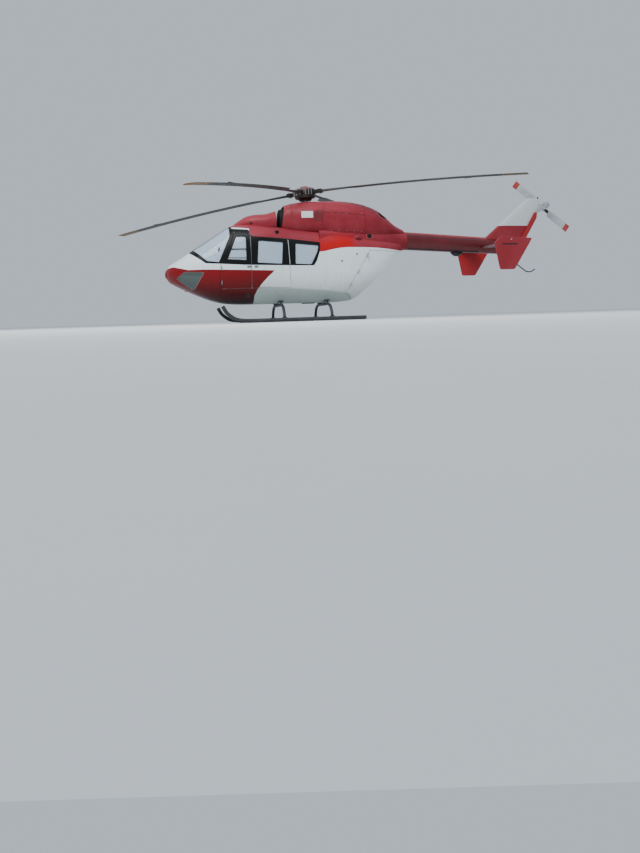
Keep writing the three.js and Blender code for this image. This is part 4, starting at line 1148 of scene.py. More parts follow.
@dataclass
class Cabin:
    """The pod: nose, windscreen frame, roof, belly and sides, with their glass."""

    wall: float = 0.035
    # Depths of the door frame's two faces under the skin
    jamb_depth: tuple[float, float] = (0.0415, 0.078)
    glass: float = 0.006
    glass_inset: float = 0.012
    post: float = 0.028
    door_gap: float = 0.006
    jamb: float = 0.032
    # Outlines as stations and heights, from the front; the fronts lie above the skin
    windscreen: tuple = ((0.925, 1.475), (1.205, 1.437), (1.475, 2.06))
    windscreen_front: tuple = (0.56, 1.812)
    screen_frame: tuple = ((0.905, 1.412), (1.25, 1.375), (1.555, 2.085))
    screen_frame_front: tuple = (0.47, 1.785)
    crew_door: tuple = ((1.262, 0.82), (1.262, 1.375), (1.585, 2.125), (1.938, 2.086), (1.95, 1.5),
                        (1.95, 0.82))
    sliding_door: tuple = ((1.962, 0.82), (1.962, 2.084), (2.835, 1.978), (2.88, 0.86), (2.88, 0.82))
    crew_window: tuple = ((1.395, 1.5), (1.612, 2.06), (1.85, 2.045), (1.85, 1.47))
    sliding_window: tuple = ((2.09, 1.41), (2.13, 1.955), (2.725, 1.905), (2.69, 1.375))
    rear_window: tuple = ((2.995, 1.37), (3.01, 1.875), (3.585, 1.82), (3.545, 1.65), (3.395, 1.35))
    chin_window: tuple = ((0.21, 1.09), (0.4, 1.24), (0.86, 1.215), (0.64, 0.83), (0.56, 0.8))
    side_panel: tuple = ((1.2404, 0.8004), (4.307, 0.8004), (4.87, 1.682), (4.866, 1.7018), (4.3, 1.8496),
                         (3.6, 1.9246), (1.592, 2.166), (1.5565, 2.084), (1.2515, 1.374), (1.2404, 1.3745))
    belly_rear: tuple = ((4.3073, 0.8), (4.2037, 0.6382), (4.6069, 0.38))
    clamshell: tuple = ((4.212, 0.64), (4.886, 1.692), (5.985, 1.665))
    clamshell_seam: tuple = ((4.212, 0.64), (4.7427, 0.3))
    nose_back: float = 1.24
    roof: tuple[float, float] = (1.5554, 3.6197)
    eaves: tuple = ((1.545, 2.172), (3.6, 1.925), (4.3, 1.85), (4.875, 1.7), (5.99, 1.672))
    floor_heights: tuple[float, float] = (0.76, 0.8)
    # The height and the distance inside the skin that give the floor its width
    floor_rim: tuple[float, float] = (0.757, 0.025)
    floor_front: float = 0.68
    floor_rear: float = 4.29
    keel_gap: float = 0.0032
    corner: float = 0.045
    # The lamp's station and radius, and its profiles as shares of the radius and heights
    nose_lamp: tuple[float, float] = (0.43, 0.05)
    nose_bezel: tuple = ((1.0, 0.86), (1.0, 0.812), (0.9, 0.806))
    nose_lens: tuple = ((0.86, 0.82), (0.84, 0.803), (0.6, 0.793), (0.2, 0.7885))
    # Half a lug's length, its inner and outer offset, its lower and upper height
    lug: tuple = (0.055, 0.38, 0.56, 0.405, 0.56)
    lug_stations: tuple = (2.65, 3.78)
    # A lug bolt's distance from the lug's middle, its height and its radius
    lug_bolt: tuple = (0.035, 0.45, 0.017)
    hook_pad: tuple = ((3.25, -0.12, 0.43), (3.55, 0.12, 0.5))
    crew_axis: tuple = (1.256, 0.8)
    crew_hinges: tuple = (0.96, 1.29)
    rear_axis: tuple = ((4.212, 0.748, 0.64), (4.886, 0.748, 1.692))
    rear_hinges: tuple = (0.2, 0.5, 0.88)
    # A knuckle's radius and half its length
    knuckle: tuple[float, float] = (0.013, 0.022)
    # How far aft of the axis the arms of a door and of its frame reach the panels
    crew_arms: tuple[float, float] = (0.02, -0.01)
    rear_arms: tuple[float, float] = (0.022, -0.026)

    def centre_turn(self, station: Array, offset: float) -> Array:
        """The turn from the top at which the skin lies a small offset to starboard."""
        return np.arctan(offset / POD.at(station)[..., 3])

    def floor(self, start: float, end: float, count: int) -> Form:
        """A flat floor from wall to wall between two stations, in the second coat."""
        height, inset = self.floor_rim
        rim = np.linspace(start, end, count)
        wide = POD.on_side(spread(rim, height), inset)[:, 1]
        outline = np.concatenate([spread(rim, wide), spread(rim, -wide)[::-1]])
        return Form.solid(np.stack([spread(*outline.T, z) for z in self.floor_heights]), 1)

    @staticmethod
    def arched(edge: Array, rear_points: int = 90) -> Array:
        """A loop along a starboard edge, over the top, back along the port edge and over the front.

        Args:
            edge: Stations and turns of the starboard edge, from front to rear.
            rear_points: Points over the rear.

        Returns:
            Stations and turns.
        """
        front = np.linspace(-edge[0, 1], edge[0, 1], 90)[1:-1]
        rear = np.linspace(edge[-1, 1], -edge[-1, 1], rear_points)[1:-1]
        return np.concatenate([edge, spread(edge[-1, 0], rear), (edge * (1, -1))[::-1],
                               spread(edge[0, 0], front)])

    def over_top(self, outline: tuple, front: tuple, rear: float, offset: float | None,
                 grow: float = 0.0) -> Array:
        """A loop that runs down the starboard side from the top's middle and back over the top.

        Args:
            outline: Lower corners, from front to rear.
            front: A point of the side view above the skin, ahead of the first corner.
            rear: The station of the rear edge.
            offset: Where the loop runs back beside the middle, or None to go on to port.
            grow: How far the loop is moved outwards.

        Returns:
            Stations and turns.
        """
        line = grown(np.array([front, *outline, (rear, 3.0), (front[0], 3.0)]), grow)
        first, corners = tuple(line[0]), line[1:-2]
        rear = line[-2][0] if grow else rear
        start = POD.meets(first, tuple(corners[0]), 2)
        begin = (start + 1e-5, float(POD.at(np.array(start))[2]))
        points = [np.array(begin)]
        for corner in [*corners, (rear, float(corners[-1][1]))]:
            count = max(2, math.ceil(np.linalg.norm(np.array(corner) - points[-1]) / 0.012))
            points.extend(np.linspace(points[-1], corner, count)[1:])
        loop = POD.side_loop(np.array(points))
        low = 0.0 if offset is None else self.centre_turn(loop[:, 0], offset)
        loop = loop[loop[:, 1] > low + 0.004]
        if offset is None:
            top = np.linspace(loop[-1, 1], -loop[-1, 1], 90)[1:-1]
            return np.concatenate([[(begin[0], 0.0)], loop, spread(rear, top), (loop * (1, -1))[::-1]])
        top = np.linspace(loop[-1, 1], self.centre_turn(np.array(rear), offset), 24)[1:]
        back = np.linspace(rear, begin[0] + 0.03, 70)[1:]
        return np.concatenate([loop, spread(rear, top), spread(back, self.centre_turn(back, offset))])

    def window(self, name: str, outline: tuple, side: Side, body: str, radius: float | None = None,
               glass: Clear = WINDOW, seal: Finish = RUBBER, bead_radius: float = 0.008) -> None:
        """Makes a side window's pane with a seal around it.

        Args:
            name: The window's name, without its side.
            outline: Its corners, as stations and heights.
            side: Its side.
            body: The body that it rides on.
            radius: How round its corners are, or None for the cabin's own.
            glass: The pane's finish.
            seal: The seal's finish.
            bead_radius: The seal's radius.
        """
        line = rounded(outline, radius or self.corner)
        edge = POD.side_loop(grown(line, -0.0005))
        pane = POD.shell([edge], self.glass, self.glass_inset, 0.0008, 0.04, (0, 0))
        make_piece(f"{name}_{side.word}_pane", pane.on(side), body, [glass],
                   (f"{name}_{side.word}",))
        bead = tube(POD.on_side(grown(line, -0.003), 0.006), bead_radius, 10, (0, 1, 0), closed=True)
        make_piece(f"{name}_{side.word}_seal", bead.on(side), body, [seal])

    def hinge(self, door: Door, moving: bool) -> Form:
        """Knuckles around a starboard door's axis, each with an arm to its panel.

        Args:
            door: The kind of door.
            moving: Whether these are the door's knuckles or the frame's.

        Returns:
            The knuckles and arms.
        """
        radius, half = self.knuckle
        if door is Door.CREW:
            points = np.array([(self.crew_axis[0], self.crew_axis[1], z) for z in self.crew_hinges])
            way, aft = np.array([0.0, 0.0, 1.0]), np.array([1.0, 0.0, 0.0])
        else:
            low, top = np.array(self.rear_axis)
            points = low + np.array(self.rear_hinges)[:, None] * (top - low)
            way = unit(top - low)
            aft = np.cross((0.0, 1.0, 0.0), way)
        shift = (self.crew_arms if door is Door.CREW else self.rear_arms)[0 if moving else 1]
        spans = [(-half, half)] if moving else [(half + 0.0003, 2 * half), (-2 * half, -half - 0.0003)]
        forms = []
        for point in points:
            deep = abs(point[1]) - POD.side_offset(point[0], point[2]) + 0.8 * self.wall
            tip = shift * aft + np.array([0.0, -deep, 0.0])
            thick = 0.005 * unit(np.cross(tip, way))
            for near, far in spans:
                a, b = point + near * way, point + far * way
                forms.append(tube([a, a + 0.001 * way, b - 0.001 * way, b],
                                  np.array([radius - 0.001, radius, radius, radius - 0.001]), 20, (0, 1, 0)))
                ring = np.array([a + thick, b + thick, b - thick, a - thick])
                forms.append(Form.solid(np.stack([ring, ring + tip])))
        return Form.join(*forms)

    def build_nose(self) -> None:
        """Makes the nose shell, its chin windows and the cockpit floor."""
        first = POD.rows[0][0] - POD.dome
        cuts = POD.cuts(0.02)
        keel = spread(np.append(cuts[cuts < self.nose_back], self.nose_back), math.pi)
        tip = spread(first, np.linspace(math.pi, -math.pi, 190)[1:-1])
        screen = self.over_top(self.screen_frame, self.screen_frame_front, 1.9, None, 0.0004)
        chin = POD.side_loop(rounded(self.chin_window, 0.03))
        outer = np.concatenate([keel * (1, -1), self.nose_rear(screen), keel[::-1], tip])
        shell = POD.shell([outer, chin, chin * (1, -1)], self.wall)
        floor = self.floor(self.floor_front, self.nose_back, 20)
        make_piece("nose_shell", Form.join(shell, floor), "airframe", [SKIN, INSIDE],
                   ("nose",), angle=60.0)
        station, radius = self.nose_lamp
        lamp = [lathe(np.array(profile) * (radius, 1), 32, coat, at=(station, 0, 0))
                for coat, profile in enumerate((self.nose_bezel, self.nose_lens))]
        make_piece("nose_lamp", Form.join(*lamp), "airframe", [WHITE_PAINT, LENS_RED])
        for side in Side:
            self.window("chin_window", self.chin_window, side, "airframe", 0.03, CHIN_WINDOW, SEALANT, 0.005)

    def nose_rear(self, loop: Array) -> Array:
        """The nose's rear edge from port to starboard, running forward around the windscreen frame.

        Args:
            loop: The windscreen frame's outline, as stations and turns.

        Returns:
            Stations and turns.
        """
        loop = loop[loop[:, 0] < self.nose_back - 0.004]
        starboard, port = loop[loop[:, 1] >= 0], loop[loop[:, 1] < 0]
        a = np.linspace(-math.pi, port[:, 1].min(), 50)[1:-1]
        b = np.linspace(starboard[:, 1].max(), math.pi, 50)[1:-1]
        return np.concatenate([spread(self.nose_back, a), port, starboard, spread(self.nose_back, b)])

    def build_screen(self) -> None:
        """Makes the windscreen frame and both windscreens."""
        outer = self.over_top(self.screen_frame, self.screen_frame_front, 1.5545, None)
        hole = self.over_top(self.windscreen, self.windscreen_front, 1.475, self.post)
        frame_form = POD.shell([outer, hole, hole * (1, -1)], 0.05)
        make_piece("windscreen_surround", frame_form, "airframe", [SKIN, INSIDE],
                   ("windscreen_frame",))
        edge = self.over_top(self.windscreen, self.windscreen_front, 1.4745, self.post, -0.0006)
        pane = POD.shell([edge], self.glass, self.glass_inset, 0.0008, 0.04, (0, 0))
        bead = tube(POD.surface(*hole.T, 0.006), 0.008, 10, (0, 1, 0), closed=True)
        for side in Side:
            make_piece(f"windscreen_{side.word}_pane", pane.on(side), "airframe", [WINDOW],
                       (f"windscreen_{side.word}",))
            make_piece(f"windscreen_{side.word}_seal", bead.on(side), "airframe", [RUBBER])

    def eaves_height(self, station: Array) -> Array:
        """The seam between the roof and the cabin's side."""
        line = np.array(self.eaves)
        return np.interp(station, line[:, 0], line[:, 1])

    def build_roof(self) -> None:
        """Makes the roof panel across the top."""
        station = np.arange(self.roof[0], self.roof[1] + 0.001, 0.02)
        edge = POD.side_loop(spread(station, self.eaves_height(station)))
        make_piece("roof_panel", POD.shell([self.arched(edge)], self.wall), "airframe", [SKIN, INSIDE],
                   ("roof",))

    def build_belly(self) -> None:
        """Makes the belly's skin and the cabin floor on it."""
        corner, kink, low = self.belly_rear
        bottom = POD.meets(kink, low, 1)
        side = [np.linspace((self.nose_back, 0.8), corner, 150), np.linspace(corner, kink, 10)[1:],
                np.linspace(kink, (bottom, float(POD.at(np.array(bottom))[1])), 30)[1:]]
        edge = POD.side_loop(np.concatenate(side))
        edge[-1, 1] = math.pi
        front = np.linspace(edge[0, 1], math.pi, 60)[1:]
        keel = np.linspace(edge[-1, 0], self.nose_back, 130)[1:-1]
        loop = np.concatenate([spread(self.nose_back, front)[::-1], edge, spread(keel, math.pi)])
        shell = POD.shell([loop], self.wall)
        half, near, far, low, high = self.lug
        lugs = [block((s - half, near, low), (s + half, far, high), 0.006, 2) for s in self.lug_stations]
        aside, up, radius = self.lug_bolt
        for s in self.lug_stations:
            for way in (-1, 1):
                lugs.append(lathe([(radius, near - 0.012), (radius, far + 0.012)], 6, 3, (0, 1, 0),
                                  (s + way * aside, 0, up)))
        lugs += [lug.mirrored() for lug in lugs]
        pad = block(*self.hook_pad, 0.006, 2)
        floor = self.floor(self.nose_back, self.floor_rear, 60)
        make_piece("belly_skin", Form.join(shell, shell.mirrored(), floor, pad, *lugs), "airframe",
                   [SKIN, FLOOR_GREY, GEAR_PAINT, BARE_METAL], ("belly",))

    def build_sides(self) -> None:
        """Makes both cabin sides with their door frames, and the doors and windows in them."""
        both = np.array([*self.crew_door[:4], *self.sliding_door[1:]])
        opening = rounded(grown(both, self.door_gap), 0.03)
        jamb_edge = rounded(grown(both, 0.02), 0.03)
        panel_line = rounded(self.side_panel, 0.004, 0.02, 4)
        jamb_holes = [rounded(grown(np.array(door), -self.jamb), 0.04)
                      for door in (self.crew_door, self.sliding_door)]
        rear = rounded(self.rear_window, self.corner)
        panel = POD.shell([POD.side_loop(line) for line in (panel_line, opening, rear)], self.wall)
        near, far = self.jamb_depth
        jamb = POD.shell([POD.side_loop(line) for line in (jamb_edge, *jamb_holes)], far - near, near,
                         coats=(1, 1))
        doors = {
            Door.CREW.value: (self.crew_door, self.crew_window, "crew_window"),
            "sliding_door": (self.sliding_door, self.sliding_window, "sliding_window"),
        }
        for side in Side:
            hinges = Form.join(self.hinge(Door.CREW, False), self.hinge(Door.REAR, False)).wear(2)
            make_piece(f"cabin_side_{side.word}_skin", Form.join(panel, jamb, hinges).on(side), "airframe",
                       [SKIN, INSIDE, BARE_METAL], (f"cabin_side_{side.word}",))
            self.window("rear_window", self.rear_window, side, "airframe")
            for name, (outline, hole, window) in doors.items():
                lines = (rounded(outline, 0.03), rounded(hole, self.corner))
                leaf = POD.shell([POD.side_loop(line) for line in lines], self.wall)
                body = f"{name}_{side.word}" if name == Door.CREW.value else "airframe"
                if name == Door.CREW.value:
                    leaf = Form.join(leaf, self.hinge(Door.CREW, True).wear(2))
                make_piece(f"{name}_{side.word}_skin", leaf.on(side), body, [SKIN, INSIDE, BARE_METAL],
                           (f"{name}_{side.word}",))
                self.window(window, hole, side, body)

    def beside_keel(self, station: Array) -> Array:
        """The turn that lies half the rear doors' gap to starboard of the keel."""
        return math.pi - self.keel_gap / POD.centre(POD.at(station))[1]

    def build_rear_doors(self) -> None:
        """Makes the two clamshell doors under the boom."""
        hinge_low, hinge_top, top_rear = self.clamshell
        top_end = POD.meets(hinge_top, top_rear, 1)
        low_end = POD.meets(*self.clamshell_seam, 1)
        ends = [(s, float(POD.at(np.array(s))[1])) for s in (top_end, low_end)]
        hinge_line = np.linspace(hinge_low, hinge_top, 90)
        top_line = np.linspace(hinge_top, ends[0], 80)[1:]
        seam = np.linspace(ends[1], hinge_low, 30)[1:-1]
        keel = np.linspace(top_end, low_end, 120)[1:-1]
        outline = np.concatenate([POD.side_loop(hinge_line), POD.side_loop(top_line),
                                  spread(keel, self.beside_keel(keel)), POD.side_loop(seam)])
        outline[:, 1] = np.minimum(outline[:, 1], self.beside_keel(outline[:, 0]))
        leaf = Form.join(POD.shell([outline], self.wall), self.hinge(Door.REAR, True).wear(2))
        for side in Side:
            make_piece(f"rear_door_{side.word}_skin", leaf.on(side), f"rear_door_{side.word}",
                       [SKIN, INSIDE, BARE_METAL], (f"rear_door_{side.word}",))

    def build(self) -> None:
        """Makes the whole pod."""
        self.build_nose()
        self.build_screen()
        self.build_roof()
        self.build_belly()
        self.build_sides()
        self.build_rear_doors()


@dataclass
class UpperBody:
    """The engine deck, the fairing ahead of the intakes, and the cowling with its exhausts."""

    wall: float = 0.03
    exhaust_from: tuple = (4.82, 0.25, 2.4)
    exhaust_to: tuple = (5.56, 0.33, 2.7)
    exhaust_radius: float = 0.12
    mast_hole: float = 0.15
    intake_lean: float = 0.12
    intake_turn: float = math.radians(128)
    # Stations and distances inside the skin of the duct behind the intake, near-black as painted shade, and
    # of its ribs
    plenum: tuple = ((2.61, 0.09), (2.63, 0.06), (2.72, 0.06), (2.8, 0.07), (2.9, 0.075), (3.0, 0.08))
    rib: tuple[float, float] = (0.058, 0.006)
    rib_stations: tuple = (2.66, 2.7, 2.74, 2.78)
    # Depths of the pipe's rings, and its wall's two radii as shares of the hole's
    pipe_depths: tuple = (0.0, 0.03, 0.12, 0.3)
    pipe_shares: tuple[float, float] = (0.985, 0.93)
    # A scoop's middle and half its three sizes; the heights of its slats, and half the longest
    scoop: tuple = ((4.59, 0.56, 1.985), (0.105, 0.048, 0.08))
    slats: tuple = (-0.035, -0.012, 0.011, 0.034)
    slat_reach: float = 0.075
    # The vent's station and offset, and its profiles
    vent: tuple = (2.59, -0.66)
    vent_neck: tuple = ((0.043, 2.11), (0.043, 2.185), (0.038, 2.19))
    vent_cap: tuple = ((0.046, 2.186), (0.046, 2.198), (0.036, 2.2045), (0.01, 2.205))

    def build_deck(self) -> None:
        """Makes the deck: the pod's upper skin aft of the cabin, with the boom's root on it.

        Each side carries a scoop, an ellipsoid m + (a cos p, b sin p cos t, c sin p sin t), with slats.
        """
        cabin = Cabin()
        last = POD.rows[-1][0]
        station = np.arange(3.6203, last, 0.02)
        edge = POD.side_loop(spread(station, cabin.eaves_height(station)))
        edge = edge[edge[:, 1] < math.pi - 0.02]
        forms = [POD.shell([cabin.arched(edge, 60)], self.wall), DECK.body(80, 120)]
        middle, reach = (np.array(values) for values in self.scoop)
        polar = np.linspace(0.03, math.pi - 0.03, 20)[:, None]
        turn = whole_turn(32)[None]
        ball = spread(np.cos(polar), np.sin(polar) * np.cos(turn), np.sin(polar) * np.sin(turn))
        for side in Side:
            flip = (1, side.value, 1)
            forms.append(Form.solid(middle * flip + reach * ball))
            for rise in self.slats:
                half = math.sqrt(self.slat_reach**2 - rise**2)
                x = np.linspace(-half, half, 9)
                bulge = np.sqrt(np.maximum(0.04, 1 - (x / reach[0]) ** 2 - (rise / reach[2]) ** 2))
                path = middle + spread(x, reach[1] * bulge, rise)
                forms.append(tube(path * flip, 0.007, 8, (0, 0, 1), 0.6, 2))
        make_piece("engine_deck_skin", Form.join(*forms), "airframe", [SKIN, INSIDE, SOOT_AND_SHADE],
                   ("engine_deck",))
        vent = [lathe(profile, 28, coat, at=(*self.vent, 0))
                for coat, profile in enumerate((self.vent_neck, self.vent_cap))]
        make_piece("roof_vent", Form.join(*vent), "airframe", [SOOT_AND_SHADE, HEAD_RED])

    def build_fairing(self) -> None:
        """Makes the fairing over the controls, its rear end, where the air goes in, a near-black cap of
        painted shade.
        """
        station = np.concatenate([
            FAIRING.rows[0][0] + 0.02 * (1 - np.cos(np.linspace(0, math.pi / 2, 6))),
            np.linspace(FAIRING.rows[0][0] + 0.03, FAIRING.rows[-1][0], 70)])
        rows = FAIRING.surface(station[:, None], whole_turn(96)[None])
        middle = rows[:1].mean(1, keepdims=True)
        narrow = np.linspace(0.1, 1, 7)[:6] ** 0.5
        rows[:6] = middle + (rows[:6] - middle) * narrow[:, None, None]
        # The rear cap wears the near-black: painted shade in the intake
        form = Form.join(Form.grid(rows), Form.fan(rows[0]), Form.fan(rows[-1], 1))
        make_piece("front_fairing_skin", form, "airframe", [SKIN, SOOT_AND_SHADE], ("front_fairing",))

    def lean(self, turn: float | Array) -> float | Array:
        """How far the cowling's front edge lies aft at a turn: c (1 + cos a) / 2."""
        return self.intake_lean * (1 + np.cos(turn)) / 2

    def build_cowling(self) -> None:
        """Makes the cowling with its air intake, exhaust holes and the hole for the mast."""
        first, last = COWLING.rows[0][0], COWLING.rows[-1][0]
        low = self.intake_turn
        station = np.arange(first + self.lean(low), last, 0.02)
        turn = np.linspace(-low, low, 150)[1:-1]
        edge = spread(station, low)
        loop = np.concatenate([edge, spread(station[-1], turn[::-1]), (edge * (1, -1))[::-1],
                               spread(first + self.lean(turn), turn)])
        start = np.array(self.exhaust_from)
        way = np.array(self.exhaust_to) - start
        flips = {side: np.array([1, side.value, 1]) for side in Side}
        rims = {side: COWLING.bore(start * flip, way * flip, self.exhaust_radius, 1.2)
                for side, flip in flips.items()}
        mast = COWLING.bore(ROTOR - 0.6 * MAST_WAY, MAST_WAY, self.mast_hole, 1.2)
        holes = [COWLING.unwrap(rim) for rim in (*rims.values(), mast)]
        shell = COWLING.shell([loop, *holes], self.wall, bevel=0.004, step=0.025)
        around = whole_turn(64)[None]
        closing = COWLING.surface(last - np.array([[0.04], [0.012], [0.004]]), around, 0.004)
        stations, insets = np.array(self.plenum).T[..., None]
        plenum = COWLING.surface(stations, around, insets)
        inset, radius = self.rib
        ribs = [tube(COWLING.surface(s, np.linspace(-low, low, 40), inset), radius, 8, (1, 0, 0), coat=2)
                for s in self.rib_stations]
        # The duct behind the intake wears the near-black: painted shade
        parts = Form.join(shell, Form.solid(closing), Form.solid(plenum, 1), *ribs)
        make_piece("engine_cowling_skin", parts, "airframe", [SKIN, SOOT_AND_SHADE, HEAD_METAL],
                   ("engine_cowling",))
        outer, inner = self.pipe_shares
        wall = [(outer, depth) for depth in self.pipe_depths[::-1]]
        wall += [(inner, depth) for depth in self.pipe_depths]
        for side, flip in flips.items():
            back = unit(way * flip)
            reach = rims[side] - start * flip
            along = (reach @ back)[:, None]
            ring = np.stack([start * flip + share * (reach - along * back) + (along - depth) * back
                             for share, depth in wall])
            make_piece(f"exhaust_{side.word}_pipe", Form.grid(ring, along=True), "airframe", [SOOT_AND_SHADE],
                       (f"exhaust_{side.word}",))

    def build(self) -> None:
        """Makes the upper body, and finishes the heavy blocks inside it."""
        self.build_deck()
        self.build_fairing()
        self.build_cowling()
        for name in ("main_gearbox", "engine_left", "engine_right"):
            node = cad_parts[name]
            node.data.materials.clear()
            node.data.materials.append(BARE_METAL.material)


@dataclass
class Tail:
    """The boom with its fin, stabiliser, endplates, drive cover, gearbox and guard."""

    fin_heights: tuple[float, float] = (1.69, 3.075)
    fin_front: tuple[float, float] = (7.736, 9.38)
    fin_rear: tuple[float, float] = (8.986, 9.82)
    fin_thick: tuple[float, float] = (0.11, 0.06)
    # Front and rear stations, height, half the span and thickness
    stabiliser: tuple = (7.95, 8.4, 1.77, 1.334, 0.055)
    endplate: tuple = ((7.98, 1.12), (7.85, 1.79), (8.03, 1.95), (8.86, 1.89), (8.37, 1.12))
    endplate_thick: float = 0.03
    # Heights and depths of the drive cover behind the fin
    cover: tuple = ((1.7, 0.09), (1.9, 0.13), (2.56, 0.13), (2.7, 0.06))
    cover_half: float = 0.045
    cover_root: float = 0.03
    guard: tuple = ((8.84, 1.64), (8.85, 1.5), (9.08, 1.29), (9.29, 1.135), (9.42, 1.125), (9.54, 1.19))
    # The tail rotor's middle
    rotor: tuple = (9.92, 0.3, 2.9)
    fin_lamp: float = 9.68
    lamp_foot: tuple = ((0.026, 3.06), (0.026, 3.085))
    lamp_lens: tuple = ((0.022, 3.08), (0.022, 3.1), (0.017, 3.113), (0.006, 3.12))
    # The gearbox's drum, by radius and offset
    drum: tuple = ((0.06, -0.06), (0.078, -0.052), (0.078, -0.02), (0.07, -0.015), (0.07, 0.06),
                   (0.08, 0.065), (0.08, 0.1), (0.055, 0.12), (0.055, 0.215))
    web_half: float = 0.038

    def fin_edges(self, height: Array) -> tuple[Array, Array]:
        """Stations of the fin's front and rear edges at heights."""
        low, high = self.fin_heights
        rise = (height - low) / (high - low)
        return tuple(foot + rise * (top - foot) for foot, top in (self.fin_front, self.fin_rear))

    def build_fin(self) -> None:
        """Makes the swept fin: wing sections stacked upwards, rounded at the tip."""
        heights = np.linspace(*self.fin_heights, 24)
        front, rear = self.fin_edges(heights)
        thick = np.interp(heights, self.fin_heights, self.fin_thick)
        rings = [wing_ring((f, 0, z), (1, 0, 0), (0, 1, 0), r - f, t)
                 for f, r, z, t in zip(front, rear, heights, thick)]
        lamp = [lathe(self.lamp_foot, 24, 1, at=(self.fin_lamp, 0, 0)),
                lathe(self.lamp_lens, 24, 2, at=(self.fin_lamp, 0, 0))]
        make_piece("fin_skin", Form.join(Form.solid(np.stack(rings)), *lamp), "airframe",
                   [FIN_PAINT, BLACK_PAINT, LENS_RED], ("fin",))

    def build_cover(self) -> None:
        """Makes the drive cover behind the fin: half ellipses of depth b(z) behind its rear edge."""
        heights = np.linspace(self.cover[0][0], self.cover[-1][0], 40)
        depth = np.interp(heights, *np.array(self.cover).T)[:, None]
        edge = self.fin_edges(heights)[1][:, None]
        angle = np.linspace(-math.pi / 2, math.pi / 2, 24)
        rows = spread(edge - self.cover_root + (depth + self.cover_root) * np.cos(angle),
                      self.cover_half * np.sin(angle), heights[:, None])
        make_piece("drive_cover", Form.solid(rows), "airframe", [COVER_RED],
                   ("fin_shaft_cover",))

    def build_gearbox(self) -> None:
        """Makes the tail gearbox: a web from the cover to the drum, and the output shaft."""
        station, side, height = self.rotor
        foot = self.cover[-1][0] + 0.0004
        low, high = self.fin_edges(np.array([foot, height]))[1]
        web = [(low + 0.001, foot), (low + 0.07, foot), (station + 0.055, height - 0.075),
               (station + 0.055, height + 0.04), (station - 0.07, height + 0.06), (high + 0.001, height)]
        drum = lathe(self.drum, 40, axis=(0, 1, 0), at=(station, 0, height))
        shaft = lathe([(0.034, side - 0.1), (0.034, side - 0.0605)], 28, 1, (0, 1, 0), (station, 0, height))
        form = Form.join(plate(rounded(web, 0.02), -self.web_half, self.web_half, 0.008), drum, shaft)
        make_piece("tail_gearbox_case", form, "airframe", [CASE_GREY, HEAD_METAL],
                   ("tail_gearbox",))

    def build_stabiliser(self) -> None:
        """Makes the stabiliser's halves and the endplates."""
        front, rear, height, half, thick = self.stabiliser
        rings = [wing_ring((front, y, height), (1, 0, 0), (0, 0, 1), rear - front, thick)
                 for y in np.linspace(0.06, half, 12)]
        start = half + 0.0003
        end = plate(rounded(self.endplate, 0.05, 0.05), start, start + self.endplate_thick, 0.012)
        for side, paint in ((Side.LEFT, PLATE_RED), (Side.RIGHT, COVER_RED)):
            # The stabiliser wears the boom's deepest red: painted shade of its underside
            make_piece(f"stabiliser_{side.word}_skin", Form.solid(np.stack(rings)).on(side), "airframe",
                       [BOOM_SHADED_RED], (f"stabiliser_{side.word}",))
            make_piece(f"endplate_{side.word}_skin", end.on(side), "airframe", [paint],
                       (f"endplate_{side.word}",))

    def build(self) -> None:
        """Makes the whole tail."""
        # The boom's deepest red is painted shade, and the pale cover along its top painted sky light
        joined = Form.join(BOOM.body(60, 96), SPINE.body(50, 48, coat=1), BOOM_POD.body(40, 40, coat=2))
        make_piece("boom_skin", joined, "airframe", [BOOM_SHADED_RED, SPINE_SKYLIT_RED, BLACK_PAINT],
                   ("tail_boom",))
        self.build_fin()
        self.build_cover()
        self.build_gearbox()
        self.build_stabiliser()
        path = smooth_path([(x, 0, z) for x, z in self.guard], 60)
        make_piece("tail_guard_tube", tube(path, 0.016, 16, (0, 1, 0)), "airframe", [GEAR_PAINT],
                   ("tail_guard",))


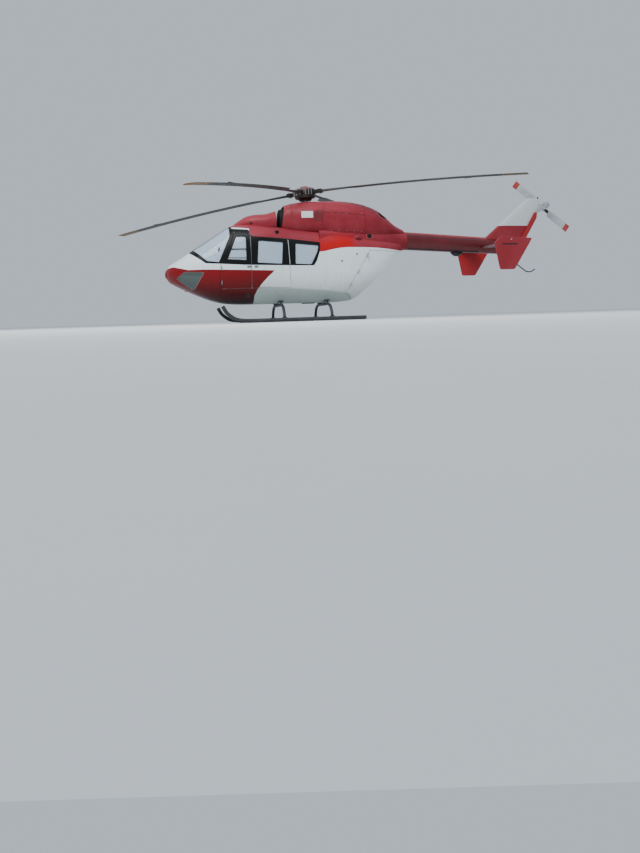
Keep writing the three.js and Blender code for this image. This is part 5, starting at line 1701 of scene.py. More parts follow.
@dataclass
class MainRotor:
    """The mast, the head and four blades, measured along the mast and along a blade."""

    azimuth: float = math.radians(-32.5)
    droop: float = math.radians(1.6)
    sag: float = 0.211
    radius: float = 5.5
    root: float = 0.3304
    # Reach, chord, thickness and the share of the chord ahead of the blade's line
    blade: tuple = ((0.3304, 0.11, 0.08, 0.5), (0.52, 0.095, 0.066, 0.5), (1.05, 0.11, 0.05, 0.46),
                    (1.35, 0.32, 0.04, 0.3), (2.6, 0.32, 0.038, 0.3), (4, 0.32, 0.036, 0.3),
                    (5.5, 0.32, 0.034, 0.3))
    # Where the neck starts and ends, and the chord at each
    neck: tuple = (1.05, 1.35, 0.11, 0.32)
    section: int = 40
    guard_points: tuple = (0, 1, 2, 37, 38, 39)
    guard_from: float = 1.5
    tab: tuple = ((4.0, 0.2, -0.117), (4.35, 0.262, -0.114))
    # The blade pins' reach and distance from the blade's line
    pins: tuple = (0.41, 0.038)
    pin: tuple = ((0.02, -0.056), (0.02, 0.056))
    pin_nuts: tuple = ((0.019, -0.068), (0.02, -0.066), (0.02, 0.066), (0.019, 0.068))
    hub: tuple = ((0.02, -0.205), (0.15, -0.205), (0.175, -0.165), (0.24, -0.15), (0.262, -0.11),
                  (0.265, -0.07), (0.265, 0.045), (0.25, 0.07), (0.225, 0.085), (0.125, 0.105), (0.11, 0.135))
    cap: tuple = ((0.115, 0.1), (0.112, 0.13), (0.1, 0.142), (0.075, 0.153), (0.04, 0.16), (0.01, 0.162))
    top: tuple = ((0.02, 0.066), (0.2505, 0.0702), (0.2255, 0.0865), (0.1252, 0.1065), (0.1105, 0.13))
    tip: float = 0.5
    # The root fitting's inner and outer reach, half its width and half its height
    fitting: tuple = (0.345, 0.475, 0.074, 0.05)
    arm: tuple = ((0.18, -0.07, -0.048), (0.33, 0.07, 0.048))
    bolt: tuple = ((0.013, -0.075), (0.013, 0.05), (0.007, 0.052), (0.007, 0.062))
    bolt_reach: float = 0.264
    bolt_turns: tuple = (-0.3, 0.0, 0.3)
    nut: tuple = ((0.016, -0.01), (0.016, 0.016), (0.013, 0.02), (0.007, 0.021), (0.007, 0.03))
    nut_rings: tuple = ((0.236, 0.07), (0.165, 0.096))
    mast: tuple = ((0.06, -0.33), (0.06, -0.2053))
    swash: tuple = ((0.075, -0.325), (0.138, -0.32), (0.142, -0.312), (0.142, -0.29), (0.138, -0.282),
                    (0.075, -0.278))
    link_reach: float = 0.128
    link: tuple = ((0.011, -0.292), (0.011, -0.2))
    link_end: tuple = ((0.018, -0.284), (0.018, -0.262))

    def turned(self, form: Form, number: int | None = None) -> Form:
        """A form of the rotor's own frame, or of one blade's, in its place on the machine."""
        turn = rotation((0, 1, 0), -MAST_TILT)
        if number is not None:
            blade = rotation((0, 0, 1), self.azimuth + number * math.pi / 2) @ rotation((0, 1, 0), self.droop)
            turn = turn @ blade
        return form.placed(ROTOR, turn)

    def build_blade(self, number: int) -> None:
        """Makes a blade: wing sections along a line that sags as the square of the reach.

        Between the neck's ends the chord grows by s^2 (3 - 2 s). The last rows wear the tip's paint, and
        the points around the front edge wear its metal guard.

        Args:
            number: The blade's number, from 0.
        """
        start, end, narrow, wide = self.neck
        reach = np.concatenate([np.linspace(self.root, start, 14), np.linspace(start + 0.02, end, 12),
                                np.linspace(end + 0.1, self.radius, 50)])
        share = (reach - self.root) / (self.radius - self.root)
        inner, *columns = np.array(self.blade).T
        chord, thick, ahead = (np.interp(reach, inner, column) for column in columns)
        s = np.clip((reach - start) / (end - start), 0, 1)
        grown_chord = narrow + (wide - narrow) * s**2 * (3 - 2 * s)
        chord = np.where((reach > start) & (reach < end), grown_chord, chord)
        rings = np.stack([
            wing_ring((x, -c * a, -self.sag * q**2), (0, 1, 0), (0, 0, 1), c, t, self.section)
            for x, c, t, a, q in zip(reach, chord, thick, ahead, share)])
        coats = np.repeat((reach[1:, None] > self.radius - self.tip).astype(int), self.section, axis=1)
        edge = np.isin(np.arange(self.section), self.guard_points)
        coats[(reach[1:, None] > self.guard_from) & edge[None]] = 2
        sheet = Form.grid(rings)
        sheet.coats[:] = coats.ravel()
        near, far, half, rise = self.fitting
        forms = [sheet, Form.fan(rings[0]), Form.fan(rings[-1], 1),
                 block((near, -half, -rise), (far, half, rise), 0.014, 3), block(*self.tab, 0.001)]
        station, aside = self.pins
        for y in (-aside, aside):
            forms.append(lathe(self.pin, 24, 4, at=(station, y, 0)))
            forms.append(lathe(self.pin_nuts, 6, 4, at=(station, y, 0)))
        make_piece(f"main_blade_{number + 1}_skin", self.turned(Form.join(*forms), number), "main_rotor",
                   [BLADE_SKIN, BLADE_TIP, BLADE_EDGE, HEAD_METAL, BARE_METAL],
                   (f"main_blade_{number + 1}",))

    def build_head(self) -> None:
        """Makes the head: a forged star under a domed cap, with a sleeve for each blade."""
        forms = [self.turned(lathe(self.hub, 64)), self.turned(lathe(self.cap, 48, 1)),
                 self.turned(lathe(self.top, 64, 1))]
        bolt = lathe(self.bolt, 12, 2)
        for number in range(4):
            forms.append(self.turned(block(*self.arm, 0.012), number))
            for step in self.bolt_turns:
                turn = self.azimuth + (number + 0.5) * math.pi / 2 + step
                place = (self.bolt_reach * math.cos(turn), self.bolt_reach * math.sin(turn), 0)
                forms.append(self.turned(bolt.placed(place)))
        angle = whole_turn(16)
        flat = np.broadcast_to(np.eye(3), (16, 3, 3))
        for reach, height in self.nut_rings:
            places = spread(reach * np.cos(angle), reach * np.sin(angle), height)
            forms.append(self.turned(repeated(lathe(self.nut, 6, 2), places, flat)))
        make_piece("rotor_head_body", Form.join(*forms), "main_rotor", [HEAD_METAL, HEAD_RED, BARE_METAL],
                   ("rotor_head",))
        mast = [lathe(self.mast, 40), lathe(self.swash, 48, 1)]
        for turn in angle[::4] + 0.4:
            place = (self.link_reach * math.cos(turn), self.link_reach * math.sin(turn), 0)
            mast += [lathe(self.link, 12, 2, at=place), lathe(self.link_end, 12, 1, at=place)]
        make_piece("mast_tube", self.turned(Form.join(*mast)), "main_rotor",
                   [BARE_METAL, HEAD_METAL, HEAD_RED], ("mast",))

    def build(self) -> None:
        """Makes the head and the blades."""
        self.build_head()
        for number in range(4):
            self.build_blade(number)


@dataclass
class TailRotor:
    """The two-blade tail rotor on the starboard side of the fin."""

    centre: tuple = (9.92, 0.3, 2.9)
    angle: float = math.radians(38)
    # Reach, chord, thickness and the share of the chord ahead of the blade's line
    blade: tuple = ((0.045, 0.06, 0.044, 0.5), (0.24, 0.064, 0.04, 0.5), (0.3, 0.2, 0.028, 0.42),
                    (0.978, 0.2, 0.022, 0.42))
    cuff_end: float = 0.26
    tip: float = 0.13
    hub: tuple = ((0.03, -0.06), (0.048, -0.055), (0.048, 0.045), (0.04, 0.055), (0.02, 0.06))
    # Half the pitch bar's length, its offset and half its thickness, and the links' reach
    spider: tuple = (0.16, 0.125, 0.012, 0.145)
    # The cuff's reach, and half its length, depth and height
    cuff: tuple = (0.2, 0.045, 0.026, 0.038)

    def build(self) -> None:
        """Makes the hub and two blades that face opposite ways."""
        inner, *columns = np.array(self.blade).T
        root, neck, wide, end = inner
        reach = np.concatenate([np.linspace(root, neck, 6), np.linspace(neck + 0.01, wide, 6),
                                np.linspace(wide + 0.03, end, 30)])
        columns = [np.interp(reach, inner, column) for column in columns]
        forms = [lathe(self.hub, 32, 2, (0, 1, 0))]
        for way in (1, -1):
            rings = np.stack([
                wing_ring((way * x, 0, way * chord * (ahead - 1)), (0, 0, way), (0, 1, 0), chord, thick, 32)
                for x, chord, thick, ahead in zip(reach, *columns)])
            sheet = Form.grid(rings)
            sheet.coats[:] = np.repeat(
                np.select([reach[1:] < self.cuff_end, reach[1:] > end - self.tip], [2, 1], 0), 32)
            forms.append(Form.join(sheet, Form.fan(rings[0], 2), Form.fan(rings[-1], 1)))
        bar, out, thick, link = self.spider
        cuff, long, deep, tall = self.cuff
        forms.append(lathe([(0.022, 0), (0.022, out)], 24, 2, (0, 1, 0)))
        forms.append(block((-bar, out - thick, -thick), (bar, out + thick, thick), 0.004, 2))
        for way in (1, -1):
            forms.append(tube([(way * link, 0, 0), (way * link, out, 0)], 0.008, 12, coat=3))
            forms.append(lathe([(0.015, out - 0.016), (0.015, out + 0.011)], 6, 3, (0, 1, 0),
                               (way * link, 0, 0)))
            forms.append(block((way * cuff - long, -deep, -tall), (way * cuff + long, deep, tall), 0.006, 2))
        form = Form.join(*forms).placed(self.centre, rotation((0, 1, 0), self.angle))
        make_piece("tail_rotor_blades", form, "tail_rotor", [TAIL_BLADE, TAIL_TIP, HEAD_METAL, BARE_METAL],
                   ("tail_rotor",))


@dataclass
class LandingGear:
    """Two skids on two bent cross tubes."""

    side: float = 1.205
    radius: float = 0.045
    path: tuple = ((1.23, 0.4), (1.33, 0.235), (1.51, 0.1), (1.8, 0.052), (3.2, 0.052), (4.6, 0.052))
    cross_radius: float = 0.036
    cross: tuple = ((1.196, 0.112), (1.13, 0.235), (0.95, 0.36), (0.64, 0.405), (0.3, 0.405), (0, 0.405))
    stations: tuple = (("front", 2.65), ("rear", 3.78))
    # The shoe's front and rear, half its width and its height
    shoe: tuple = (1.79, 4.56, 0.036, 0.03)
    # Half a saddle's length and width, its rise and the height where it starts
    saddle: tuple = (0.06, 0.052, 0.06, 0.052)

    def build(self) -> None:
        """Makes the skids with their shoes, and the cross tubes with their saddles."""
        path = smooth_path([(x, self.side, z) for x, z in self.path], 90)
        runner = tube(path, self.radius, 24, (0, 1, 0))
        front, rear, wide, tall = self.shoe
        shoe = block((front, self.side - wide, 0), (rear, self.side + wide, tall), 0.004)
        for side in Side:
            make_piece(f"skid_{side.word}_tube", Form.join(runner, shoe).on(side), "airframe", [GEAR_PAINT],
                       (f"skid_{side.word}",))
        for name, station in self.stations:
            right = [(station, y, z) for y, z in self.cross]
            line = [(x, -y, z) for x, y, z in right[:-1]] + right[::-1]
            forms = [tube(smooth_path(line, 110), self.cross_radius, 24, (1, 0, 0))]
            angle = np.linspace(0, math.pi, 17)
            half, wide, tall, foot = self.saddle
            for way in (-1, 1):
                side, rise = way * self.side + wide * np.cos(angle), foot + tall * np.sin(angle)
                ends = (station - half, station + half)
                forms.append(Form.solid(np.stack([spread(x, side, rise) for x in ends])))
            make_piece(f"cross_tube_{name}_assembly", Form.join(*forms), "airframe", [GEAR_PAINT],
                       (f"cross_tube_{name}",))


@dataclass
class Details:
    """Rivets, seams, catches and blank plates that lie on the skin, from the starboard side's places."""

    rivet_step: float = 0.045
    pod_rivets: tuple = (
        ((1.63, 2.125), (3.58, 1.89)),
        ((3.66, 1.8), (3.66, 0.84)), ((3.98, 1.66), (3.98, 0.84)), ((2.93, 0.825), (4.27, 0.825)),
        ((1.28, 0.775), (4.24, 0.775)), ((2.93, 1.31), (2.93, 0.84)), ((1.215, 1.33), (1.215, 0.83)),
        ((1.265, 0.775), (1.265, 0.52)), ((2.2, 0.75), (2.2, 0.5)), ((3.2, 0.75), (3.2, 0.5)))
    leaf_rivets: tuple = (((4.94, 1.63), (4.27, 0.585)), ((4.98, 1.64), (5.6, 1.62)))
    cowl_row: tuple[float, float] = (2.86, 5.6)
    cowl_row_turn: float = 2.12
    cowl_step: float = 0.055
    # The middle seam's station, its sweep, and the turn at which it ends
    cowl_seam: tuple = (3.86, 0.17, 1.92)
    cowl_front_seam: float = 2.98
    cowl_rear_seam: float = 4.8
    cowl_edge_turn: float = 1.25
    boom_rings: tuple = (6.02, 6.75, 7.5, 8.2)
    boom_row: tuple[float, float] = (6.05, 8.85)
    boom_row_turn: float = 1.75
    white_plate: tuple = ((3.21, 2.5), (3.49, 2.5), (3.49, 2.66), (3.21, 2.66))
    dark_patch: tuple = ((3.51, 2.42), (3.7, 2.42), (3.74, 2.68), (3.53, 2.68))
    step_square: tuple = ((1.82, 0.6), (1.9, 0.6), (1.9, 0.69), (1.82, 0.69))
    # The port's station, height and radius
    deck_port: tuple = (4.91, 2.06, 0.075)
    # Ends of each bar, and its radius
    window_bars: tuple = (((1.49, 1.745), (1.85, 1.745), 0.012), ((1.408, 1.54), (1.85, 1.53), 0.008))
    latches: tuple = ((1.9, 1.325), (2.07, 1.325))
    endplate_slot: tuple = ((8.06, 1.3638, 1.731), (8.46, 1.3662, 1.763))
    endplate_lamp: tuple = ((0.02, 1.36), (0.02, 1.372), (0.012, 1.382), (0.004, 1.385))
    # Black strips of painted shade along the boom's lower sides: their front, rear and turn
    strips: tuple = (6.0, 7.9, 2.55)

    def rivets(self) -> None:
        """Sets rows of dome-headed rivets on the pod, the rear doors, the boom and the cowling."""
        head = stud(0.0052, 0.0036, 6)
        pod = POD.side_studs(self.pod_rivets, self.rivet_step, head)
        leaf = POD.side_studs(self.leaf_rivets, self.rivet_step, head)
        boom = [BOOM.studs(spread(s, whole_turn(36)), head) for s in self.boom_rings]
        boom += [BOOM.studs(spread(np.linspace(*self.boom_row, 64), way * self.boom_row_turn), head)
                 for way in (1, -1)]
        along = np.arange(*self.cowl_row, self.cowl_step)
        cowl = [COWLING.studs(spread(along, way * self.cowl_row_turn), head) for way in (1, -1)]
        for side in Side:
            make_piece(f"rivets_{side.word}", pod.on(side), "airframe", [SKIN])
            make_piece(f"rear_door_rivets_{side.word}", leaf.on(side), f"rear_door_{side.word}", [SKIN])
        make_piece("boom_rivets", Form.join(*boom), "airframe", [BOOM_SHADED_RED])
        make_piece("cowling_fasteners", Form.join(*cowl), "airframe", [SKIN])

    @staticmethod
    def cowl_line(turn: float | Array, station: float | Array) -> Form:
        """A seam on the cowling's skin, along turns and stations."""
        return tube(COWLING.surface(station, turn, -0.0005), 0.0045, 8, (1, 0, 0), 0.6)

    def upper(self) -> None:
        """Lays the cowling's seams, its blank plate and patch, and small fittings above the roof."""
        front, sweep, reach = self.cowl_seam
        turn = np.linspace(-reach, reach, 90)
        seams = [self.cowl_line(turn, front - sweep * np.abs(turn) / reach),
                 self.cowl_line(turn, self.cowl_rear_seam),
                 self.cowl_line(turn[15:-15], self.cowl_front_seam)]
        edge = self.cowl_edge_turn
        along = np.linspace(front - sweep * edge / reach, self.cowl_rear_seam, 40)
        seams += [self.cowl_line(side.value * edge, along) for side in Side]
        make_piece("cowling_seams", Form.join(*seams), "airframe", [SOOT_AND_SHADE])
        for side in Side:
            plates = [COWLING.side_plate(self.white_plate, 0.003, 0, 0.006),
                      COWLING.side_plate(self.dark_patch, 0.002, 1, 0.03),
                      FAIRING.side_studs([((2.01, 2.4), (2.011, 2.4))], 1.0, stud(0.026, 0.022, 20, 2)),
                      COWLING.side_studs([((3.94, 2.2), (4.7, 2.17)), ((3.94, 2.62), (4.7, 2.6))], 0.19,
                                         stud(0.009, 0.005, 12, 3))]
            make_piece(f"cowling_plates_{side.word}", Form.join(*plates).on(side), "airframe",
                       [WHITE_PAINT, PATCH_RED, BLACK_PAINT, BARE_METAL])
            station, height, radius = self.deck_port
            angle = whole_turn(28)
            ring = spread(station + radius * np.cos(angle), height + radius * np.sin(angle))
            port = [DECK.shell([DECK.side_loop(ring)], 0.003, -0.002, 0.0006, 0.05, (0, 0)),
                    tube(DECK.on_side(ring, -0.002), 0.007, 8, (0, 1, 0), coat=1, closed=True)]
            make_piece(f"deck_port_{side.word}", Form.join(*port).on(side), "airframe", [SOOT_AND_SHADE, HEAD_RED])

    def latch(self, place: tuple) -> Form:
        """A door catch: a dark plate with a lever across it."""
        x, z = place
        pad = POD.side_plate([(x - 0.045, z - 0.022), (x + 0.045, z - 0.022), (x + 0.045, z + 0.022),
                              (x - 0.045, z + 0.022)], 0.003, 0, 0.01)
        return Form.join(pad, POD.side_line([(x - 0.035, z), (x + 0.035, z)], 0.008, 1, 0.012, 0.7))

    def lower(self) -> None:
        """Sets the catches, window bars and fittings of the cabin's sides."""
        front, rear = self.latches
        for side in Side:
            bars = [POD.side_line((a, b), radius, 2, -0.002, 0.8) for a, b, radius in self.window_bars]
            bars.append(POD.side_line([(1.412, 1.522), (1.85, 1.512)], 0.006, 3, -0.002))
            make_piece(f"crew_door_fittings_{side.word}", Form.join(self.latch(front), *bars).on(side),
                       f"crew_door_{side.word}", [BLACK_PAINT, BARE_METAL, RUBBER, WHITE_PAINT])
            spots = POD.side_studs([((4.14, 1.43), (4.141, 1.43)), ((4.53, 1.6), (4.531, 1.6))], 1.0,
                                   stud(0.022, 0.012, 16, 0))
            parts = [self.latch(rear), POD.side_plate(self.step_square, 0.004, 0, 0.008), spots,
                     POD.side_line([(2.842, 1.955), (2.87, 1.37)], 0.006, 3, 0.001),
                     POD.side_line([(2.872, 1.32), (2.888, 0.95)], 0.006, 3, 0.001),
                     POD.side_line([(1.2, 1.7), (1.222, 1.79)], 0.013, 0, 0.012, 0.9)]
            make_piece(f"side_fittings_{side.word}", Form.join(*parts).on(side), "airframe",
                       [BLACK_PAINT, BARE_METAL, HEAD_METAL, WHITE_PAINT])

    def tail(self) -> None:
        """Sets the dark slots of the endplates, and black strips of painted shade along the boom's lower
        sides.
        """
        for side in Side:
            slot = block(*self.endplate_slot, 0.001)
            lamp = lathe(self.endplate_lamp, 20, 1, (0, 1, 0), (8.3, 0, 1.86))
            make_piece(f"endplate_slot_{side.word}", Form.join(slot, lamp).on(side), "airframe",
                       [BLACK_PAINT, LENS_CLEAR])
        start, end, turn = self.strips
        along = np.linspace(start, end, 60)
        # Black tubes where the boom's underside lies in shade: painted shade
        strips = [tube(BOOM.surface(along, way * turn, -0.002), 0.02, 8, (0, 1, 0), 0.5)
                  for way in (1, -1)]
        make_piece("boom_strips", Form.join(*strips), "airframe", [BLACK_PAINT])

    def build(self) -> None:
        """Sets all small things."""
        self.rivets()
        self.upper()
        self.lower()
        self.tail()


@dataclass
class Interior:
    """Seats with stuffed pads and harness, the instrument panel, the sticks and the pedals."""

    # Name, front station, offset, width and the size of the pads' remesh
    seats: tuple = (("pilot_seat_left", 1.56, -0.36, 0.46, 0.01),
                    ("pilot_seat_right", 1.56, 0.36, 0.46, 0.01), ("cabin_bench", 3.1, 0.0, 1.2, 0.014))
    floor: float = 0.8003
    depth: float = 0.44
    heights: tuple[float, float] = (0.96, 1.08)
    back_line: tuple = ((0.46, 1.02), (0.59, 1.7))
    back_thick: float = 0.1
    swell: float = 0.014
    channel_step: float = 0.105
    # How deep and how wide the sewn channels and the seam are
    channel: tuple[float, float] = (0.007, 0.006)
    seam: tuple[float, float] = (0.004, 0.005)
    legs: tuple = ((0.08, 0.12), (0.4, 0.36))
    # A strap's half width, and the points of its section
    strap: tuple = (0.022, 12)
    # Distances along the back, off it and aside; then stations, offsets and heights
    shoulder_strap: tuple = ((0.345, 0.01, 0.07), (0.3, 0.064, 0.07), (0.0, 0.07, 0.06), (-0.22, 0.068, 0.03))
    lap_strap: tuple = ((0.4, -0.2, 1.06), (0.3, -0.13, 1.102), (0.26, 0.0, 1.108), (0.3, 0.13, 1.102),
                        (0.4, 0.2, 1.06))
    panel: tuple = ((1.01, 1.08), (1.2, 1.12), (1.13, 1.4), (1.02, 1.4))
    panel_half: float = 0.56
    pedestal: tuple = ((1.03, -0.15, 0.8003), (1.2, 0.15, 1.2))
    stick: tuple = ((1.44, 0.8003), (1.46, 0.95), (1.42, 1.12), (1.4, 1.2))
    lever: tuple = ((1.86, 0.83), (1.7, 0.95), (1.52, 1.06))
    pedal_arm: tuple = ((0.92, 0.8003), (0.93, 0.9), (0.96, 0.97))

    def pad(self, name: str, middle: Array, reach: tuple, turn: Array, voxel: float) -> bpy.types.Object:
        """A stuffed pad: a rounded box |x/a|^n + |y/b|^n + |z/c|^n = 1, swollen as cloth, then sewn.

        Its channels run across it a step apart, and its seam runs around its middle. Each is sunk by
        d exp(-(r / w)^2) at a distance r from its line.

        Args:
            name: The piece's name.
            middle: Its middle.
            reach: Half its length, width and thickness.
            turn: The matrix that leans it.
            voxel: The size of the remesh.

        Returns:
            The pad.
        """
        def power(value: Array) -> Array:
            """A cosine or a sine drawn towards the box's faces."""
            return np.sign(value) * np.abs(value) ** 0.32

        polar = np.linspace(0.02, math.pi - 0.02, 40)[:, None]
        around = whole_turn(72)[None]
        ball = spread(power(np.sin(polar)) * power(np.cos(around)),
                      power(np.sin(polar)) * power(np.sin(around)), power(np.cos(polar)))
        form = Form.solid(ball * (np.array(reach) - self.swell * 0.7)).placed(middle, turn)
        piece = make_piece(name, form, "airframe", [CLOTH])
        remesh = piece.modifiers.new("remesh", "REMESH")
        remesh.mode, remesh.voxel_size = "VOXEL", voxel
        self.bake(piece, [remesh])
        self.stuff(piece)
        smooth = piece.modifiers.new("smooth", "SUBSURF")
        smooth.levels = smooth.render_levels = 1
        self.bake(piece, [smooth])
        points = self.read(piece.data)
        own = (points - middle - (NOSE_X, 0, 0)) @ turn
        step, thick = self.channel_step, own[:, 2]
        line = np.abs(np.mod(own[:, 0] + step / 2, step) - step / 2)
        (deep, wide), (seam_deep, seam_wide) = self.channel, self.seam
        sunk = deep * np.exp(-((line / wide) ** 2)) * (thick > 0)
        sunk += seam_deep * np.exp(-((thick / seam_wide) ** 2))
        self.write(piece.data, points - self.read(piece.data, "vertex_normals", "vector") * sunk[:, None])
        piece.data.polygons.foreach_set("use_smooth", np.ones(len(piece.data.polygons), bool))
        return piece

    @staticmethod
    def read(mesh: bpy.types.Mesh, layer: str = "vertices", name: str = "co") -> Array:
        """A mesh's vectors as rows."""
        values = np.empty(3 * len(mesh.vertices))
        getattr(mesh, layer).foreach_get(name, values)
        return values.reshape(-1, 3)

    @staticmethod
    def write(mesh: bpy.types.Mesh, points: Array) -> None:
        """Moves a mesh's points."""
        mesh.vertices.foreach_set("co", points.ravel())
        mesh.update()

    @staticmethod
    def bake(piece: bpy.types.Object, modifiers: list) -> None:
        """Writes a piece's modifiers into its mesh and removes them."""
        evaluated = piece.evaluated_get(bpy.context.evaluated_depsgraph_get())
        mesh = bpy.data.meshes.new_from_object(evaluated)
        for modifier in modifiers:
            piece.modifiers.remove(modifier)
        old, piece.data = piece.data, mesh
        bpy.data.meshes.remove(old)
        mesh.name = piece.name

    def stuff(self, piece: bpy.types.Object) -> None:
        """Swells a pad as cloth under pressure, no point further than the swell.

        Args:
            piece: The pad.
        """
        cloth = piece.modifiers.new("cloth", "CLOTH")
        cloth.settings.use_pressure = True
        cloth.settings.uniform_pressure_force = 4.0
        cloth.settings.effector_weights.gravity = 0.0
        scene = bpy.context.scene
        for step in range(1, 21):
            scene.frame_set(step)
        evaluated = piece.evaluated_get(bpy.context.evaluated_depsgraph_get())
        after, before = self.read(evaluated.data), self.read(piece.data)
        way = after - before
        far = np.linalg.norm(way, axis=1, keepdims=True)
        piece.modifiers.remove(cloth)
        scene.frame_set(1)
        self.write(piece.data, before + way * np.minimum(1, self.swell / np.maximum(far, 1e-9)))

    def build_seat(self, name: str, station: float, side: float, width: float, voxel: float) -> None:
        """Makes a seat's frame, its two pads and its harness.

        Args:
            name: The seat's name.
            station: Where its cushion starts.
            side: Its middle's offset.
            width: Its width.
            voxel: The size of its pads' remesh.
        """
        low, high = self.heights
        (x0, z0), (x1, z1) = self.back_line
        lean = math.atan2(x1 - x0, z1 - z0)
        middle = np.array([station + self.depth / 2, side, (low + high) / 2])
        reach = (self.depth / 2, width / 2, (high - low) / 2)
        cushion = self.pad(f"{name}_cushion", middle, reach, np.eye(3), voxel)
        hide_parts(name)
        up = np.array([math.sin(lean), 0, math.cos(lean)])
        out = np.array([-math.cos(lean), 0, math.sin(lean)])
        turn = np.stack([up, np.cross(out, up), out], -1)
        back = np.array([station + (x0 + x1) / 2, side, (z0 + z1) / 2])
        self.pad(f"{name}_back", back, (0.345, width / 2, self.back_thick / 2), turn, voxel)
        half = width / 2 - 0.06
        forms = [block((station + 0.06, side - half, 0.93), (station + 0.4, side + half, 0.965), 0.006)]
        for y in (side - half + 0.02, side + half - 0.02):
            for foot, top in self.legs:
                leg = [(station + foot, y, self.floor), (station + top, y, 0.94)]
                forms.append(tube(leg, 0.014, 14, (0, 1, 0)))
            forms.append(block((station + 0.04, y - 0.02, self.floor),
                               (station + 0.44, y + 0.02, self.floor + 0.02), 0.004))
        straps = []
        for y in [side] if width < 1 else [side - 0.4, side, side + 0.4]:
            for way in (-1, 1):
                path = [back + up * rise + out * proud + (0, y - side + way * aside, 0)
                        for rise, proud, aside in self.shoulder_strap]
                straps.append(tube(smooth_path(path, 30), *self.strap, (0, 1, 0), 0.12))
            lap = [(station + x, y + aside, z) for x, aside, z in self.lap_strap]
            straps.append(tube(smooth_path(lap, 30), *self.strap, (0.5, 0, -1), 0.12))
            straps.append(block((station + 0.235, y - 0.03, 1.104), (station + 0.285, y + 0.03, 1.118),
                                0.003, 1))
        make_piece(f"{name}_frame", Form.join(*forms), "airframe", [GEAR_PAINT])
        make_piece(f"{name}_harness", Form.join(*straps), "airframe", [WEBBING, BARE_METAL])

    def build_panel(self) -> None:
        """Makes the instrument panel with round dials, each with ticks and a needle."""
        corner = np.array(self.panel)
        up = unit(corner[2] - corner[1])
        out = np.array([up[1], 0, -up[0]])
        axes = np.stack([(0, 1, 0), np.cross(out, (0, 1, 0)), out], -1)
        dial = [lathe([(0.046, -0.004), (0.046, 0.006), (0.041, 0.009), (0.038, 0.004)], 28, 1),
                lathe([(0.0375, 0.003), (0.0375, 0.0045)], 28, 2)]
        tick = block((0.029, -0.0009, 0.004), (0.036, 0.0009, 0.0053), 0.0002, 3)
        dial += [tick.placed(turn=rotation((0, 0, 1), k * TURN / 12)) for k in range(12)]
        dial.append(block((-0.008, -0.0016, 0.0045), (0.027, 0.0016, 0.0063), 0.0003, 3))
        places, turns = [], []
        for row, rise in enumerate((0.075, 0.19)):
            for k, y in enumerate(np.arange(-0.48, 0.49, 0.12)):
                foot = corner[1] + up * rise
                places.append([foot[0], y, foot[1]])
                turns.append(axes @ rotation((0, 0, 1), 0.7 * k + row))
        forms = [plate(rounded(self.panel, 0.02), -self.panel_half, self.panel_half, 0.01),
                 block(*self.pedestal, 0.01), repeated(Form.join(*dial), np.array(places), np.array(turns))]
        keys = block((-0.012, -0.008, -0.002), (0.012, 0.008, 0.006), 0.002, 3)
        spots = np.array([[self.pedestal[1][0], y, z] for z in np.arange(0.9, 1.08, 0.04)
                          for y in np.arange(-0.11, 0.12, 0.044)])
        aft = np.array([(0, 0, 1), (1, 0, 0), (0, 1, 0)])
        forms.append(repeated(keys, spots, np.broadcast_to(aft, (len(spots), 3, 3))))
        make_piece("instrument_panel_body", Form.join(*forms), "airframe",
                   [PANEL_BLACK, BEZEL, DIAL_FACE, DIAL_MARK], ("instrument_panel",))

    def build_controls(self) -> None:
        """Makes the sticks and the pedals, which have no joints."""
        forms = []
        for y in (-0.36, 0.36):
            stick = smooth_path([(x, y, z) for x, z in self.stick], 24)
            lever = smooth_path([(x, y - 0.26, z) for x, z in self.lever], 24)
            forms += [tube(stick, 0.011, 14, (0, 1, 0)), tube(stick[-8:], 0.02, 14, (0, 1, 0), coat=1),
                      tube(lever, 0.012, 14, (0, 1, 0)), tube(lever[-8:], 0.02, 14, (0, 1, 0), coat=1)]
            for way in (-0.1, 0.1):
                arm = smooth_path([(x, y + way, z) for x, z in self.pedal_arm], 12)
                forms += [tube(arm, 0.009, 12, (0, 1, 0)),
                          block((0.95, y + way - 0.04, 0.955), (0.975, y + way + 0.04, 1.03), 0.005, 1)]
        make_piece("cockpit_controls", Form.join(*forms), "airframe", [BARE_METAL, RUBBER])

    def build(self) -> None:
        """Furnishes the cabin."""
        for seat in self.seats:
            self.build_seat(*seat)
        self.build_panel()
        self.build_controls()


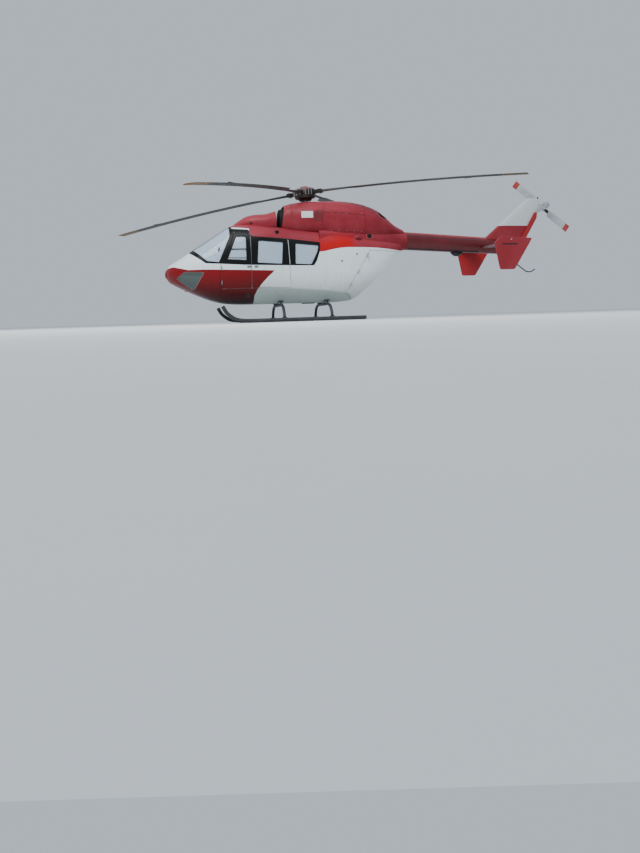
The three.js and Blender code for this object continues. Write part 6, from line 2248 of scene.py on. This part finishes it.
@dataclass
class Studio:
    """The pale floor, the soft light and the camera at floor level."""

    azimuth: float = math.radians(12.7)
    roll: float = math.radians(-1.78)
    distance: float = 20.0
    eye_height: float = 0.06
    pixels_per_metre: float = 39.45
    picture: tuple[int, int] = (640, 853)
    sensor: float = 36.0
    aim: float = 4.7128
    aim_pixel: tuple[float, float] = (359.8, 316.9)
    sky: int = 0xC3CDD8
    lamp_size: tuple[float, float] = (14, 10)
    lamp_power: float = 2600
    lamp_place: tuple = (-7, -9, 14)
    lamp_aim: tuple = (0, 0, 1.5)
    floor_half: float = 2000.0

    def build_camera(self) -> None:
        """Sets the camera level with the floor, its axis shifted to a pixel of the picture."""
        ahead = np.array([math.sin(self.azimuth), math.cos(self.azimuth), 0.0])
        place = np.array([NOSE_X + self.aim, 0.0, self.eye_height]) - self.distance * ahead
        focal = self.pixels_per_metre * self.distance
        wide, tall = self.picture
        data = bpy.data.cameras.new("camera")
        data.sensor_width = self.sensor
        data.lens = focal * self.sensor / tall
        data.shift_x = (wide / 2 - self.aim_pixel[0]) / tall
        data.shift_y = (self.aim_pixel[1] - tall / 2) / tall
        data.clip_end = 5000
        camera = bpy.data.objects.new("camera", data)
        camera.location = place
        level = Matrix.Rotation(-self.azimuth, 4, "Z") @ Matrix.Rotation(math.pi / 2, 4, "X")
        camera.rotation_euler = (level @ Matrix.Rotation(self.roll, 4, "Z")).to_euler()
        bpy.context.scene.collection.objects.link(camera)
        bpy.context.scene.camera = camera

    def build_light(self) -> None:
        """Sets an even sky and one wide lamp above the near side."""
        world = bpy.data.worlds.new("studio")
        world.use_nodes = True
        sky = world.node_tree.nodes["Background"]
        sky.inputs["Color"].default_value = srgb(self.sky)
        sky.inputs["Strength"].default_value = 1.0
        bpy.context.scene.world = world
        lamp = bpy.data.lights.new("softbox", "AREA")
        lamp.shape = "RECTANGLE"
        lamp.size, lamp.size_y = self.lamp_size
        lamp.energy = self.lamp_power
        box = bpy.data.objects.new("softbox", lamp)
        box.location = self.lamp_place
        way = Vector(self.lamp_aim) - Vector(self.lamp_place)
        box.rotation_euler = way.to_track_quat("-Z", "Y").to_euler()
        bpy.context.scene.collection.objects.link(box)

    def build_floor(self) -> None:
        """Lays a wide pale floor."""
        mesh = bpy.data.meshes.new("floor")
        far = self.floor_half
        mesh.from_pydata([(-far, -far, 0), (far, -far, 0), (far, far, 0), (-far, far, 0)], [], [(0, 1, 2, 3)])
        mesh.materials.append(Plain("studio_floor", 0xE8EBEC, 0xECEEEF, 0.9, 333.0, 0.0, 0.0).material)
        floor = bpy.data.objects.new("floor", mesh)
        bpy.context.scene.collection.objects.link(floor)

    def build(self) -> None:
        """Makes the camera, the light and the floor."""
        self.build_camera()
        self.build_light()
        self.build_floor()


def main() -> None:
    """Builds each sub-assembly in turn and reports it."""
    logging.basicConfig(level=logging.INFO, format="%(message)s")
    for part in (Studio(), Cabin(), UpperBody(), Tail(), MainRotor(), TailRotor(), LandingGear(), Details(),
                 Interior()):
        LOG.info("building %s", type(part).__name__)
        part.build()


if __name__ == "__main__":
    main()
